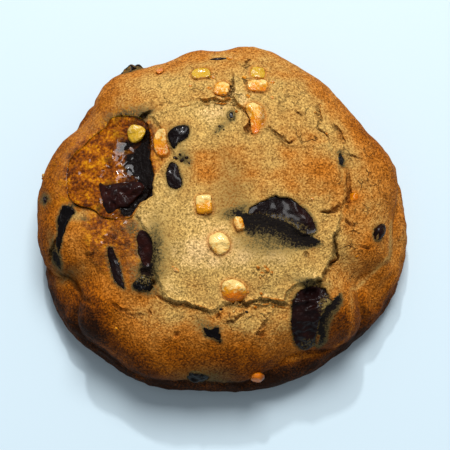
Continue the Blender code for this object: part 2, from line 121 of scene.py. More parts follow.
def spots(x, y, table):
    # rows of x, y, half length, half width, turn and height
    return sum(much * spot(x, y, cx, cy, a, b, turn) for cx, cy, a, b, turn, much in table)


# The dough's form, as in its solid

dough = {
    "halfLength": 48.4,
    "halfWidth": 45.2,
    "top": 30.0,
    "belly": 12.5,
    "domePower": 2.3,
    "footInset": 4.5,
    "skirtHeight": 5.0,
    "skirtTop": 11.0,
    "skirtClimb": 5.5,
    "skirtInset": 0.7,
    "outlineLobes": (  # angle and half width in degrees, height
        (35, 16, -4), (5, 12, -0.4), (58, 12, -1.2), (80, 7, 0.55), (112, 10, -2), (92, 6, -1.2),
        (128, 8, 1), (148, 10, -1.4), (172, 8, 0.15), (190, 6, 0.2), (218, 16, 3),
        (244, 12, 1.8), (338, 16, 1),
    ),
    "folds": (  # angle and half width in degrees, how far the mound stands back
        (355, 14, 4.3), (333, 9, 9), (296, 15, 4.9), (262, 18, 2), (208, 9, 7), (228, 12, 1.8),
        (145, 8, 2),
    ),
    "lumps": (  # x, y, half length, half width, turn, height
        (2, -31, 22, 5, 4, 1.3), (29, -24, 6, 9, 10, 1.2), (36, -4, 6, 12, 8, 0.9),
        (26, 24, 12, 8, -50, 0.9), (-17, 30, 12, 5, 25, 0.8), (-34, -26, 9, 8, 60, 1.6),
        (-36, -8, 5, 7, 80, 0.7), (5, 33, 14, 4, 0, 0.5), (-29, 9, 11, 10, 40, -1.2),
        (12, -12, 12, 6, 0, 0.5),
    ),
    "plateRise": 0.8,
    "plateEdge": 1.0,
    "basinDepth": 3.6,
    "gridCuts": 63,
    "keptFaces": 0.44,
    "baseFrom": 150.0,  # how far round the ball, in degrees, the sides reach
}
plateOutline = [
    (-6.4, 27.2), (2, 27.2), (5.5, 24.2), (6, 19.3), (10.8, 20.8), (17.5, 16.2), (27.3, 16.6),
    (31.7, 4.2), (29.3, -6.2), (28, -11.4), (25.2, -19), (16.9, -21.9), (16.1, -25.3),
    (0.9, -25.5), (-3, -27.6), (-14.7, -23.9), (-17.2, -18), (-18.2, -10), (-22.1, -3.4),
    (-20.1, 0.8), (-17.1, 6.7), (-12.9, 12.8), (-18.6, 23.1), (-16.1, 25.2),
]
poolOutline = [
    (-35.8, 16.4), (-33.3, 19), (-29.9, 21.5), (-28.9, 23.3), (-26.3, 23.8), (-21.9, 23.2),
    (-19.4, 21.2), (-18.6, 18), (-18.4, 12), (-17.4, 8), (-17.4, 1.8), (-20.6, 0.4),
    (-23.3, -3.2), (-29.7, -3), (-33, -0.6), (-37, 0.8), (-39.3, 3.5), (-39.9, 8.9), (-39, 13.2),
]
cracks = (  # half width, depth and course
    (0.4, 1.1, ((-16.7, -21.7), (-14.7, -23.9), (-12, -24.7), (-6.3, -26.2), (-3, -27.6))),
    (0.6, 1.7, ((0.9, -25.5), (5.2, -24.2), (5.9, -25.4), (8.6, -24.4), (11.6, -24.4),
                (16.1, -25.5))),
    (0.35, 1, ((-0.3, -29.6), (2.4, -29.8), (3.2, -28.6), (5.9, -27.6))),
    (0.7, 2.2, ((29.3, -6.2), (27.7, -8.2), (28, -11.4), (28.6, -13), (26.8, -14.1),
                (26.5, -15.9))),
    (0.5, 1.8, ((26.5, -15.9), (25.4, -17.5), (25.2, -19), (23.4, -19.6))),
    (0.5, 1.6, ((31.3, 9.6), (31.7, 7.2), (32, 3.9), (31.2, 1.6), (31.9, 0.6))),
    (0.5, 1.5, ((24.5, -2), (26, -2), (28.6, -0.9), (29.4, 0.5))),
    (0.3, 0.8, ((30.6, -3), (31.9, -4.4), (33.7, -5.2))),
    (0.3, 0.8, ((34.4, -10), (37.5, -10.3))),
    (0.45, 1.5, ((2.2, 35.2), (2.5, 32.5), (2.5, 31.1), (2, 29.7), (2.2, 28))),
    (0.55, 1.8, ((2.2, 28), (3.2, 26.3), (5.5, 24.2), (6.8, 22.3), (6.8, 20.9), (6, 19.6),
                 (8, 17.5))),
    (0.45, 1.4, ((10.8, 20.8), (12.1, 19.2), (14.6, 17.4), (16.8, 16.1), (18.4, 16.2))),
    (0.4, 1.4, ((-6.4, 27.2), (-2, 27.1), (2, 27.2))),
    (0.35, 1, ((24.2, 27), (24.4, 24.7), (24.9, 22.8), (24.1, 20.5), (27.3, 16.6))),
    (0.3, 0.9, ((28.3, 21.5), (29.3, 19.9), (31.2, 16.1))),
    (0.3, 0.8, ((31.9, 13.9), (33.4, 13.2), (35.4, 12.5))),
    (0.3, 0.8, ((18.3, 24.9), (19.7, 23.3))),
    (0.35, 1, ((6.9, 39.8), (5.6, 38.5), (6.1, 36))),
    (0.6, 1.6, ((-20.9, 23.2), (-18.6, 24.4))),
    (0.5, 0.9, ((-35.3, -12.6), (-31.9, -12.1))),
    (0.5, 0.6, ((-28.1, -24.9), (-25.3, -26.2), (-21.5, -27.7), (-19.5, -28))),
    (0.3, 0.8, ((-18.3, -26.2), (-18.3, -27.2))),
    (0.3, 0.8, ((20.6, -12.2), (21, -13.8))),
    (0.3, 0.9, ((11.3, -28.8), (8.2, -32.6), (10.2, -32.6))),
    (0.5, 1.4, ((-0.9, -32.5), (-1, -34.8))),
    (0.45, 1.3, ((-39.5, -3.9), (-41.5, -7.1), (-43.8, -10.5), (-44.3, -13.3))),
)
pits = (  # x, y, radius, depth of single holes in the crust
    (-11.5, -32.3, 0.9, 1.1), (-1.3, -28, 0.6, 1.2), (-19.4, -17, 1.8, 1.6),
    (-17.6, -19.9, 0.9, 2), (25.4, -22.8, 1.4, 1.8), (23, -20.8, 1.6, 1.4),
    (-14.5, 1.6, 0.8, 0.5), (9.9, -32.5, 0.9, 0.7), (21.8, 32.7, 0.7, 0.5),
)


def outlineRadius(angle):
    turn = np.radians(angle)
    ellipse = 1.0 / np.hypot(np.cos(turn) / dough["halfLength"], np.sin(turn) / dough["halfWidth"])
    return ellipse + sum(lobe(angle, *row) for row in dough["outlineLobes"])


def moundRadius(angle):
    return outlineRadius(angle) - sum(lobe(angle, *row) for row in dough["folds"])


def skirtRadius(angle):
    fold = outlineRadius(angle) - moundRadius(angle)
    return outlineRadius(angle) - dough["skirtInset"] * (1.0 - smoothStep(0.3, 1.5, fold))


def broadRelief(x, y):
    beyond = smoothStep(-dough["plateEdge"], 0.0, edgeDistance(x, y, plateOutline))
    return spots(x, y, dough["lumps"]) + dough["plateRise"] * (1.0 - beyond)


def surfaceHeight(x, y):
    reach = np.hypot(x, y) / moundRadius(np.degrees(np.arctan2(y, x)))
    dome = np.clip(1.0 - reach ** dough["domePower"], 0.0, 1.0) ** (1.0 / dough["domePower"])
    return dough["belly"] + (dough["top"] - dough["belly"]) * dome + broadRelief(x, y)


def skirtSide(angle, height):
    # the skirt climbs higher where the mound folds far back
    mound, skirt = moundRadius(angle), skirtRadius(angle)
    foldedBack = smoothStep(1.5, 6.0, outlineRadius(angle) - mound)
    crease = dough["skirtTop"] + dough["skirtClimb"] * foldedBack
    above = np.clip((height - dough["skirtHeight"]) / (crease - dough["skirtHeight"]), 0.0, 1.0)
    below = np.clip((dough["skirtHeight"] - height) / dough["skirtHeight"], 0.0, 1.0)
    radius = skirt - (skirt - mound + 2.5) * (1.0 - np.sqrt(1.0 - above**2))
    radius = radius - 0.5 * dough["footInset"] * (1.0 - np.sqrt(1.0 - below**2))
    return np.where(height < crease, radius, 0.0)


def sideProfile(angle, steps=160):
    mound = moundRadius(angle)
    belly, power = dough["belly"], dough["domePower"]
    turn = np.linspace(0.0, math.pi / 2, steps)
    domeRadius = mound * np.sin(turn) ** (2.0 / power)
    domeHeight = belly + (dough["top"] - belly) * np.cos(turn) ** (2.0 / power)
    domeRadius = np.maximum(domeRadius, skirtSide(angle, domeHeight))
    height = belly * (1.0 - np.linspace(0.0, 1.0, steps)[1:] ** 1.5)
    under = np.sqrt(1.0 - ((belly - height) / belly) ** 2)
    moundSide = mound - dough["footInset"] * (1.0 - under)
    sideRadius = np.maximum(moundSide, skirtSide(angle, height))
    return np.concatenate([domeRadius, sideRadius]), np.concatenate([domeHeight, height])


def plainDough(directions):
    # moves the points of a unit ball onto the dough's plain form, even steps down each side
    turns, steps, baseFrom = 720, 800, dough["baseFrom"]
    azimuth = np.degrees(np.arctan2(directions[:, 1], directions[:, 0])) % 360.0
    polar = np.degrees(np.arccos(np.clip(directions[:, 2], -1.0, 1.0)))
    even = np.linspace(0.0, 1.0, steps + 1)
    radii, heights = np.empty((turns, steps + 1)), np.empty((turns, steps + 1))
    for row in range(turns):
        radius, height = sideProfile(row * 360.0 / turns)
        length = np.concatenate([[0.0], np.cumsum(np.hypot(np.diff(radius), np.diff(height)))])
        radii[row] = np.interp(even * length[-1], length, radius)
        heights[row] = np.interp(even * length[-1], length, height)
    turn = azimuth * turns / 360.0
    row = np.floor(turn).astype(int)
    rowShare = turn - row
    step = np.clip(polar / baseFrom, 0.0, 1.0) * steps
    column = np.minimum(np.floor(step).astype(int), steps - 1)
    columnShare = step - column

    def blended(table):
        near, far = (
            table[(row + offset) % turns, column] * (1.0 - columnShare)
            + table[(row + offset) % turns, column + 1] * columnShare
            for offset in (0, 1)
        )
        return near * (1.0 - rowShare) + far * rowShare

    radius, height = blended(radii), blended(heights)
    baseShare = np.clip((180.0 - polar) / (180.0 - baseFrom), 0.0, 1.0)
    radius, height = radius * baseShare, np.where(baseShare < 1.0, 0.0, height)
    azimuth = np.radians(azimuth)
    return np.column_stack([radius * np.cos(azimuth), radius * np.sin(azimuth), height])


# Mesh helpers

def meshPoints(piece):
    points = np.empty(len(piece.data.vertices) * 3)
    piece.data.vertices.foreach_get("co", points)
    return points.reshape(-1, 3) / mm


def setPoints(piece, points):
    piece.data.vertices.foreach_set("co", (points * mm).ravel())
    piece.data.update()


def meshNormals(piece):
    normals = np.empty(len(piece.data.vertices) * 3, np.float32)
    piece.data.vertex_normals.foreach_get("vector", normals)
    return normals.reshape(-1, 3).astype(float)


def setMasks(piece, **masks):
    # values from 0 to 1 at each point, which the finishes read by their names
    for name, values in masks.items():
        mask = piece.data.attributes.new(name, "FLOAT", "POINT")
        mask.data.foreach_set("value", np.clip(values, 0.0, 1.0).astype(np.float32))


def select(piece):
    bpy.ops.object.select_all(action="DESELECT")
    piece.select_set(True)
    bpy.context.view_layer.objects.active = piece


def applyModifier(piece, kind, **values):
    select(piece)
    modifier = piece.modifiers.new(kind.title(), kind)
    for name, value in values.items():
        setattr(modifier, name, value)
    bpy.ops.object.modifier_apply(modifier=modifier.name)


def register(piece, name, slotName, material, *replaced):
    piece.name = piece.data.name = name
    piece.data.materials.clear()
    piece.data.materials.append(material)
    select(piece)
    bpy.ops.object.shade_smooth()
    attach(piece, "root")
    if replaced:
        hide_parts(*replaced)
    return piece


def evenOutline(outline, count):
    # a smooth closed line through the points, as evenly spaced points that run round to the left
    points = np.array(outline)
    ahead = np.roll(points, -1, axis=0)
    if np.sum(points[:, 0] * ahead[:, 1] - points[:, 1] * ahead[:, 0]) < 0:
        points = points[::-1]
    share = np.linspace(0.0, 1.0, 9)[:-1, None]
    dense = []
    for p0, p1, p2, p3 in zip(*(np.roll(points, shift, axis=0) for shift in (1, 0, -1, -2))):
        bend = (2 * p0 - 5 * p1 + 4 * p2 - p3) * share**2 + (3 * p1 - p0 - 3 * p2 + p3) * share**3
        dense.append(0.5 * (2 * p1 + (p2 - p0) * share + bend))
    dense = np.vstack(dense + [dense[0][:1]])
    length = np.concatenate([[0.0], np.cumsum(np.hypot(*np.diff(dense, axis=0).T))])
    wanted = np.arange(count) / count * length[-1]
    return np.column_stack([np.interp(wanted, length, dense[:, k]) for k in (0, 1)])


# Camera, lights and floor

view = {"aim": (0.46, -2.3, 12.0), "elevation": 80.0, "distance": 450.0, "lens": 138.46}
studio = {
    "keyPlace": (110, 700, 1260),
    "keySize": 560.0,
    "keyPower": 16.2,
    "glintPlace": (-90, 900, 1020),
    "glintSize": 60.0,
    "glintPower": 6.0,
    "skyColour": (0.9, 0.95, 1),
    "skyStrength": 0.31,
    "floorColour": (0.62, 0.76, 0.84),
}


def addCamera():
    aim = Vector(view["aim"]) * mm
    rise = math.radians(view["elevation"])
    away = Vector((0.0, -math.cos(rise), math.sin(rise))) * view["distance"] * mm
    bpy.ops.object.camera_add(location=aim + away, rotation=(math.pi / 2 - rise, 0.0, 0.0))
    camera = bpy.context.object
    camera.data.lens = view["lens"]
    camera.data.sensor_width = 36.0
    bpy.context.scene.camera = camera


def addAreaLight(place, size, power):
    place = Vector(place) * mm
    turn = (Vector((0.0, 0.0, 0.015)) - place).to_track_quat("-Z", "Y").to_euler()
    bpy.ops.object.light_add(type="AREA", location=place, rotation=turn)
    light = bpy.context.object.data
    light.size = size * mm
    light.energy = power


def addFloor():
    bpy.ops.mesh.primitive_plane_add(size=6.0, location=(0.0, 0.0, 0.0))
    floor = bpy.context.object
    floor.name = "floor"
    paint = bpy.data.materials.new("paleFloor")
    paint.use_nodes = True
    shader = paint.node_tree.nodes["Principled BSDF"]
    shader.inputs["Base Color"].default_value = (*studio["floorColour"], 1.0)
    shader.inputs["Roughness"].default_value = 0.6
    floor.data.materials.append(paint)


addCamera()
addAreaLight(studio["keyPlace"], studio["keySize"], studio["keyPower"])
addAreaLight(studio["glintPlace"], studio["glintSize"], studio["glintPower"])
addFloor()
world = bpy.data.worlds.new("softSky")
world.use_nodes = True
world.node_tree.nodes["Background"].inputs["Color"].default_value = (*studio["skyColour"], 1.0)
world.node_tree.nodes["Background"].inputs["Strength"].default_value = studio["skyStrength"]
bpy.context.scene.world = world
bpy.context.scene.view_settings.view_transform = "Standard"
bpy.context.scene.view_settings.look = "None"
print("camera, lights and floor are in place")


# Material helpers: a value can be a number, a colour or another node's output

drawing = {}  # the node tree that the helpers add to


def colour(red, green, blue):
    # from screen levels, 0 to 255
    levels = [part / 255.0 for part in (red, green, blue)]
    return (*(v / 12.92 if v <= 0.04045 else ((v + 0.055) / 1.055) ** 2.4 for v in levels), 1.0)


def newNode(kind, **settings):
    node = drawing["tree"].nodes.new(kind)
    for name, value in settings.items():
        setattr(node, name, value)
    return node


def put(sockets, values):
    # links what comes from a node, and sets what is the same all over
    for name, value in values.items():
        if isinstance(value, bpy.types.NodeSocket):
            drawing["tree"].links.new(value, sockets[name])
        else:
            sockets[name].default_value = value


def mixColour(amount, first, second, blend="MIX"):
    node = newNode("ShaderNodeMix", data_type="RGBA", blend_type=blend)
    put(node.inputs, {0: amount, 6: first, 7: second})
    return node.outputs[2]


def maths(operation, first, second=0.0, clamp=False):
    node = newNode("ShaderNodeMath", operation=operation, use_clamp=clamp)
    put(node.inputs, {0: first, 1: second})
    return node.outputs[0]


def add(first, second, clamp=False):
    return maths("ADD", first, second, clamp)


def times(first, second, clamp=False):
    return maths("MULTIPLY", first, second, clamp)


def fitRange(value, low, high, newLow=0.0, newHigh=1.0):
    node = newNode("ShaderNodeMapRange")
    put(node.inputs, {0: value, 1: low, 2: high, 3: newLow, 4: newHigh})
    return node.outputs[0]


def noiseValue(place, cell, detail=2.0, harshness=0.5):
    # noise whose lumps are about one cell wide, in millimetres
    node = newNode("ShaderNodeTexNoise")
    put(node.inputs, {"Vector": place, "Scale": 0.6 / (cell * mm)})
    put(node.inputs, {"Detail": detail, "Roughness": harshness})
    return node.outputs["Fac"]


def scatteredCells(place, cell, feature="F1", output="Distance"):
    # distance to scattered points or to the border between them, or a random value for each
    node = newNode("ShaderNodeTexVoronoi", feature=feature)
    put(node.inputs, {"Vector": place, "Scale": 1.0 / (cell * mm)})
    return node.outputs[output]


def crookedPlace(place, scale, most):
    # a place that wanders, so that lines drawn with it run crooked
    noise = newNode("ShaderNodeTexNoise")
    put(noise.inputs, {"Vector": place, "Scale": scale})
    node = newNode("ShaderNodeVectorMath", operation="MULTIPLY_ADD")
    put(node.inputs, {0: noise.outputs["Color"], 1: (most * mm, most * mm, most * mm), 2: place})
    return node.outputs[0]


def maskValue(name):
    return newNode("ShaderNodeAttribute", attribute_name=name).outputs["Fac"]


def colourSteps(value, steps):
    node = newNode("ShaderNodeValToRGB")
    put(node.inputs, {"Fac": value})
    ramp = node.color_ramp
    while len(ramp.elements) < len(steps):
        ramp.elements.new(0.5)
    for element, (place, paint) in zip(ramp.elements, steps):
        element.position = place
        element.color = paint
    return node.outputs["Color"]


def bump(height, distance):
    # distance in millimetres
    node = newNode("ShaderNodeBump")
    put(node.inputs, {"Strength": 1.0, "Distance": distance * mm, "Height": height})
    return node.outputs["Normal"]


def newMaterial(name):
    made = bpy.data.materials.new(name)
    made.use_nodes = True
    drawing["tree"] = made.node_tree
    place = newNode("ShaderNodeTexCoord").outputs["Object"]
    return made, made.node_tree.nodes["Principled BSDF"].inputs, place


def sandyGrainGroup():
    # crumbly grain: a height for bumps and a light and dark speckle
    group = bpy.data.node_groups.new("sandyGrain", "ShaderNodeTree")
    group.interface.new_socket("Place", in_out="INPUT", socket_type="NodeSocketVector")
    group.interface.new_socket("Height", in_out="OUTPUT", socket_type="NodeSocketFloat")
    group.interface.new_socket("Speckle", in_out="OUTPUT", socket_type="NodeSocketFloat")
    drawing["tree"] = group
    place = newNode("NodeGroupInput").outputs["Place"]
    fine = fitRange(noiseValue(place, 0.30, 1.0, 0.5), 0.28, 0.72)
    middle = fitRange(noiseValue(place, 0.7, 1.0, 0.5), 0.25, 0.75)
    sand = fitRange(scatteredCells(place, 0.34, output="Color"), 0.1, 0.9)
    coarse = fitRange(noiseValue(place, 2.4, 2.0, 0.5), 0.3, 0.7)
    pores = fitRange(scatteredCells(place, 1.5), 0.06, 0.15)
    height = add(times(fine, 0.34), times(middle, 0.22))
    height = add(add(height, times(coarse, 0.45)), times(pores, 0.10))
    speckle = add(times(sand, 0.55), times(fine, 0.45))
    speckle = add(speckle, fitRange(pores, 0.0, 1.0, -0.25, 0.0))
    put(newNode("NodeGroupOutput").inputs, {"Height": height, "Speckle": speckle})
    return group


grainGroup = sandyGrainGroup()


def grain(place):
    node = newNode("ShaderNodeGroup", node_tree=grainGroup)
    put(node.inputs, {"Place": place})
    return node.outputs["Height"], node.outputs["Speckle"]


caramelLook = {
    "steps": (
        (0.0, colour(76, 32, 0)),
        (0.35, colour(128, 62, 0)),
        (0.7, colour(172, 96, 0)),
        (1.0, colour(206, 134, 8)),
    ),
    "syrup": colour(12, 4, 2),
    "rippleDepth": 1.0,
    "finish": {
        "Roughness": 0.3,
        "Specular IOR Level": 0.05,
        "Subsurface Weight": 0.1,
        "Subsurface Radius": (1.0, 0.35, 0.05),
        "Subsurface Scale": 1.0 * mm,
        "Coat Weight": 0.26,
        "Coat Roughness": 0.08,
    },
}


def amberPaint(place):
    cloud = noiseValue(place, 2.2, 4.0, 0.6)
    fine = noiseValue(place, 0.45, 2.0, 0.6)
    level = add(times(cloud, 0.6), times(fine, 0.4))
    return colourSteps(fitRange(level, 0.40, 0.60), caramelLook["steps"]), cloud


crustLook = {
    "bakeSteps": (
        (0.0, colour(218, 180, 122)),
        (0.20, colour(188, 152, 84)),
        (0.35, colour(176, 133, 68)),
        (0.50, colour(172, 106, 36)),
        (0.65, colour(148, 80, 6)),
        (0.80, colour(106, 52, 3)),
        (1.0, colour(42, 19, 4)),
    ),
    "oliveStain": colour(104, 90, 52),
    "blackStain": colour(22, 17, 15),
    "orangeStain": colour(186, 100, 14),
    # painted shade for the insides of cracks, hair cracks and holes
    "crack": colour(44, 22, 8),
    "grainDepth": 0.36,
    "speckle": (0.54, 1.62),  # how dark and how light the grains are
    "roughness": (0.80, 0.4),  # where it is dry, and where caramel has run over it
    "glazeCoat": 0.35,
    "finish": {"Coat Roughness": 0.08, "Specular IOR Level": 0.08},
}


def hairCracks(place):
    # a crooked web of hair cracks, broken off here and there
    web = scatteredCells(crookedPlace(place, 700.0, 1.6), 3.4, "DISTANCE_TO_EDGE")
    broken = fitRange(noiseValue(place, 2.6, 2.0), 0.53, 0.60)
    lines = times(fitRange(web, 0.012, 0.05, 1.0, 0.0), broken)
    return times(lines, maskValue("crackle"), True)


def crustMaterial():
    made, shader, place = newMaterial("bakedCrust")
    height, speckle = grain(place)
    bake = add(maskValue("bake"), fitRange(speckle, 0.2, 0.8, 0.06, -0.06))
    drift = fitRange(noiseValue(place, 4.5, 3.0), 0.35, 0.65, -0.06, 0.06)
    paint = colourSteps(add(bake, drift), crustLook["bakeSteps"])
    grains = fitRange(speckle, 0.15, 0.85, *crustLook["speckle"])
    paint = mixColour(1.0, paint, grains, "MULTIPLY")
    speck = fitRange(speckle, 0.2, 0.8, -0.25, 0.25)
    juice = maskValue("juice")
    juicy = times(add(juice, times(speck, 0.5), True), juice, True)
    paint = mixColour(juicy, paint, crustLook["orangeStain"])
    blotch = fitRange(noiseValue(place, 1.5, 3.0), 0.36, 0.56, 0.78, 1.0)
    sticky = times(maskValue("glaze"), blotch, True)
    paint = mixColour(sticky, paint, amberPaint(place)[0])
    stain = maskValue("stain")
    smudge = add(stain, times(speck, fitRange(stain, 0.0, 0.3)))
    paint = mixColour(fitRange(smudge, 0.02, 0.40, 0.0, 0.9), paint, crustLook["oliveStain"])
    # the darkest end is melted chocolate and painted shade
    paint = mixColour(fitRange(smudge, 0.32, 0.80), paint, crustLook["blackStain"])
    hair = hairCracks(place)
    # cracks, holes and hair cracks darkened with painted shade
    torn = maths("MAXIMUM", maskValue("crack"), times(hair, 0.8))
    relief = maths("SUBTRACT", height, times(hair, 1.2))
    ripple = times(sticky, times(noiseValue(place, 0.8, 3.0, 0.6), 2.4))
    put(shader, {
        "Base Color": mixColour(torn, paint, crustLook["crack"]),
        "Roughness": fitRange(sticky, 0.1, 0.6, *crustLook["roughness"]),
        "Coat Weight": fitRange(sticky, 0.35, 0.8, 0.0, crustLook["glazeCoat"]),
        "Normal": bump(add(relief, ripple), crustLook["grainDepth"]),
    })
    put(shader, crustLook["finish"])
    return made


chocolateLook = {
    "dark": colour(7, 4, 4),
    "warm": colour(50, 16, 9),
    "bloom": colour(22, 16, 19),
    "dust": colour(140, 118, 68),
    "roughness": (0.40, 0.85),  # bare and dusty
    "coat": 0.14,
    "bumps": 0.75,
    "finish": {"Coat Roughness": 0.14, "Specular IOR Level": 0.05},
}


def chocolateMaterial():
    made, shader, place = newMaterial("darkChocolate")
    height, speckle = grain(place)
    paint = mixColour(maskValue("warm"), chocolateLook["dark"], chocolateLook["warm"])
    smoky = fitRange(noiseValue(place, 1.2, 3.0), 0.4, 0.7, 0.0, 0.35)
    paint = mixColour(smoky, paint, chocolateLook["bloom"])
    dust = maskValue("dust")
    grains = fitRange(speckle, 0.15, 0.85, -0.4, 0.4)
    spread = times(grains, fitRange(dust, 0.0, 0.3))
    dusty = fitRange(add(dust, spread), 0.3, 1.0)
    soft = noiseValue(place, 1.1, 3.0, 0.6)
    relief = add(soft, times(height, times(dust, 0.8)))
    put(shader, {
        "Base Color": mixColour(dusty, paint, chocolateLook["dust"]),
        "Roughness": fitRange(dusty, 0.0, 0.4, *chocolateLook["roughness"]),
        "Coat Weight": fitRange(dusty, 0.0, 0.3, chocolateLook["coat"], 0.0),
        "Normal": bump(relief, chocolateLook["bumps"]),
    })
    put(shader, chocolateLook["finish"])
    return made


orangeLook = {
    "flesh": colour(222, 146, 12),
    # sugar frosting, and painted light on the back and top of a piece
    "pale": colour(242, 204, 122),
    # deep orange, and painted shade on the front of a piece
    "deep": colour(206, 108, 0),
    "yellow": colour(200, 158, 34),
    "burnt": colour(84, 42, 8),
    "roughness": (0.22, 0.5),  # clear and frosted
    "finish": {
        "Subsurface Weight": 0.05,
        "Subsurface Radius": (0.7, 0.5, 0.15),
        "Subsurface Scale": 1.0 * mm,
        "Specular IOR Level": 0.2,
        "Coat Weight": 0.25,
        "Coat Roughness": 0.12,
    },
}


def orangeMaterial():
    made, shader, place = newMaterial("candiedOrange")
    cloudy = fitRange(noiseValue(place, 1.1, 3.0), 0.35, 0.65, -0.25, 0.25)
    sugar = fitRange(noiseValue(place, 0.35, 2.0), 0.35, 0.65, -0.2, 0.2)
    deep = fitRange(add(maskValue("deep"), cloudy), 0.2, 0.8)
    paint = mixColour(deep, orangeLook["flesh"], orangeLook["deep"])
    paint = mixColour(maskValue("yellow"), paint, orangeLook["yellow"])
    # sugar frosting, with painted light on the back and top
    frosted = fitRange(add(maskValue("pale"), add(cloudy, sugar)), 0.3, 0.75)
    paint = mixColour(frosted, paint, orangeLook["pale"])
    lumps = add(noiseValue(place, 0.7, 3.0), times(sugar, 0.5))
    put(shader, {
        "Base Color": mixColour(maskValue("burnt"), paint, orangeLook["burnt"]),
        "Roughness": fitRange(frosted, 0.0, 1.0, *orangeLook["roughness"]),
        "Normal": bump(lumps, 0.3),
    })
    put(shader, orangeLook["finish"])
    return made


def caramelMaterial():
    made, shader, place = newMaterial("orangeCaramel")
    paint, cloud = amberPaint(place)
    syrup = maskValue("syrup")
    uneven = fitRange(cloud, 0.35, 0.65, -0.3, 0.3)
    flow = add(syrup, times(uneven, fitRange(syrup, 0.0, 0.2)))
    ripple = noiseValue(place, 0.8, 3.0, 0.6)
    put(shader, {
        "Base Color": mixColour(fitRange(flow, 0.2, 0.75), paint, caramelLook["syrup"]),
        "Normal": bump(ripple, caramelLook["rippleDepth"]),
    })
    put(shader, caramelLook["finish"])
    return made


crust = crustMaterial()
chocolate = chocolateMaterial()
orange = orangeMaterial()
caramel = caramelMaterial()
print("four finishes are ready")


# Pieces that keep the form of their solids, rounded off and made finer

def treeOf(piece):
    faces = [face.vertices[:] for face in piece.data.polygons]
    return BVHTree.FromPolygons([corner.co[:] for corner in piece.data.vertices], faces)


overlaps = {  # how far the torn dough lies over a piece's border
    "chocolate": 0.4,
    "orange": 0.3,
    "chocolate_centre": 0.3,
    "chocolate_lower_right": 0.15,
    "chocolate_slot": 0.1,
    "chocolate_hook": 0.08,
    "chocolate_by_hook": 0.1,
    "chocolate_left_edge": 0.15,
    "chocolate_slot_end": 0.3,
    "chocolate_strip": 0.15,
    "chocolate_star": 0.2,
    "chocolate_in_caramel": 0.0,
    "orange_in_caramel": 0.0,
    "orange_cube": 0.1,
    "orange_round": 0.2,
    "orange_lower": 0.15,
}
covered = {  # a line over a piece: right of it, the dough lies over the piece as a thin dusty skin
    "chocolate_centre": ((1, -1.6), (6, -2.8), (10, -2.9), (14, -3.9), (18, -5.8),
                         (22, -8.2), (27, -12)),
    "chocolate_lower_right": ((24.2, -32), (24.4, -28.4), (25.2, -26), (28.4, -23)),
}
onTheSide = (
    "chocolate_right_side", "chocolate_front_side", "chocolate_back_rim", "orange_front_side",
)
pressedPieces = {}


def layers(points, table):
    # noise in layers: rows of cell, height and seed
    return sum(height * softNoise(points, cell, seed) for cell, height, seed in table)


def ragged(points, most=1.0):
    # moves points a little, so that edges and cracks drawn over them come out torn
    along = layers(points, ((2.3, 0.5, 21), (0.85, 0.28, 22), (0.4, 0.13, 23)))
    across = layers(points, ((2.3, 0.5, 31), (0.85, 0.28, 32), (0.4, 0.13, 33)))
    return points[:, 0] + most * along, points[:, 1] + most * across


def underSkin(points, nodeName):
    # how far each point lies on the covered side of the piece's line, negative on the bare side
    if nodeName not in covered:
        return np.full(len(points), -1.0)
    distance, _, side = lineDistance(*ragged(points, 0.8), covered[nodeName])
    return distance * side


def rememberForDough(nodeName, piece):
    # the dough is later laid under and round this piece
    corners = meshPoints(piece)
    middle = (corners.min(axis=0) + corners.max(axis=0)) / 2
    way = np.array([0.0, 0.0, 1.0])
    if nodeName in onTheSide:
        way = np.array([middle[0], middle[1], 30.0 if middle[2] > 20 else 10.0])
        way /= np.linalg.norm(way)
    pressedPieces[nodeName] = (treeOf(piece), corners.min(axis=0), corners.max(axis=0), way)


fineness = {"chocolate": 0.22, "orange": 0.16}  # size of the new faces


def fineCopy(nodeName):
    mesh = nodes[nodeName].data.copy()
    piece = bpy.data.objects.new(nodeName, mesh)
    bpy.context.scene.collection.objects.link(piece)
    select(piece)
    bpy.ops.object.mode_set(mode="EDIT")
    bpy.ops.mesh.select_all(action="SELECT")
    bpy.ops.mesh.remove_doubles(threshold=0.00001)
    bpy.ops.mesh.tris_convert_to_quads()
    bpy.ops.object.mode_set(mode="OBJECT")
    applyModifier(piece, "SUBSURF", levels=2, render_levels=2)
    faceSize = fineness[nodeName.split("_")[0]] * mm
    applyModifier(piece, "REMESH", mode="VOXEL", voxel_size=faceSize)
    applyModifier(piece, "SMOOTH", factor=0.5, iterations=4)
    return piece


def swell(piece, table):
    # moves the surface in and out by layers of noise
    points = meshPoints(piece)
    points += meshNormals(piece) * layers(points, table)[:, None]
    setPoints(piece, points)


def localPlace(points):
    # from -1 to 1 across the piece along x and y, and from 0 to 1 up it
    low, high = points.min(axis=0), points.max(axis=0)
    across, along, _ = ((points - (low + high) / 2) / ((high - low) / 2)).T
    return across, along, (points[:, 2] - low[2]) / (high[2] - low[2])


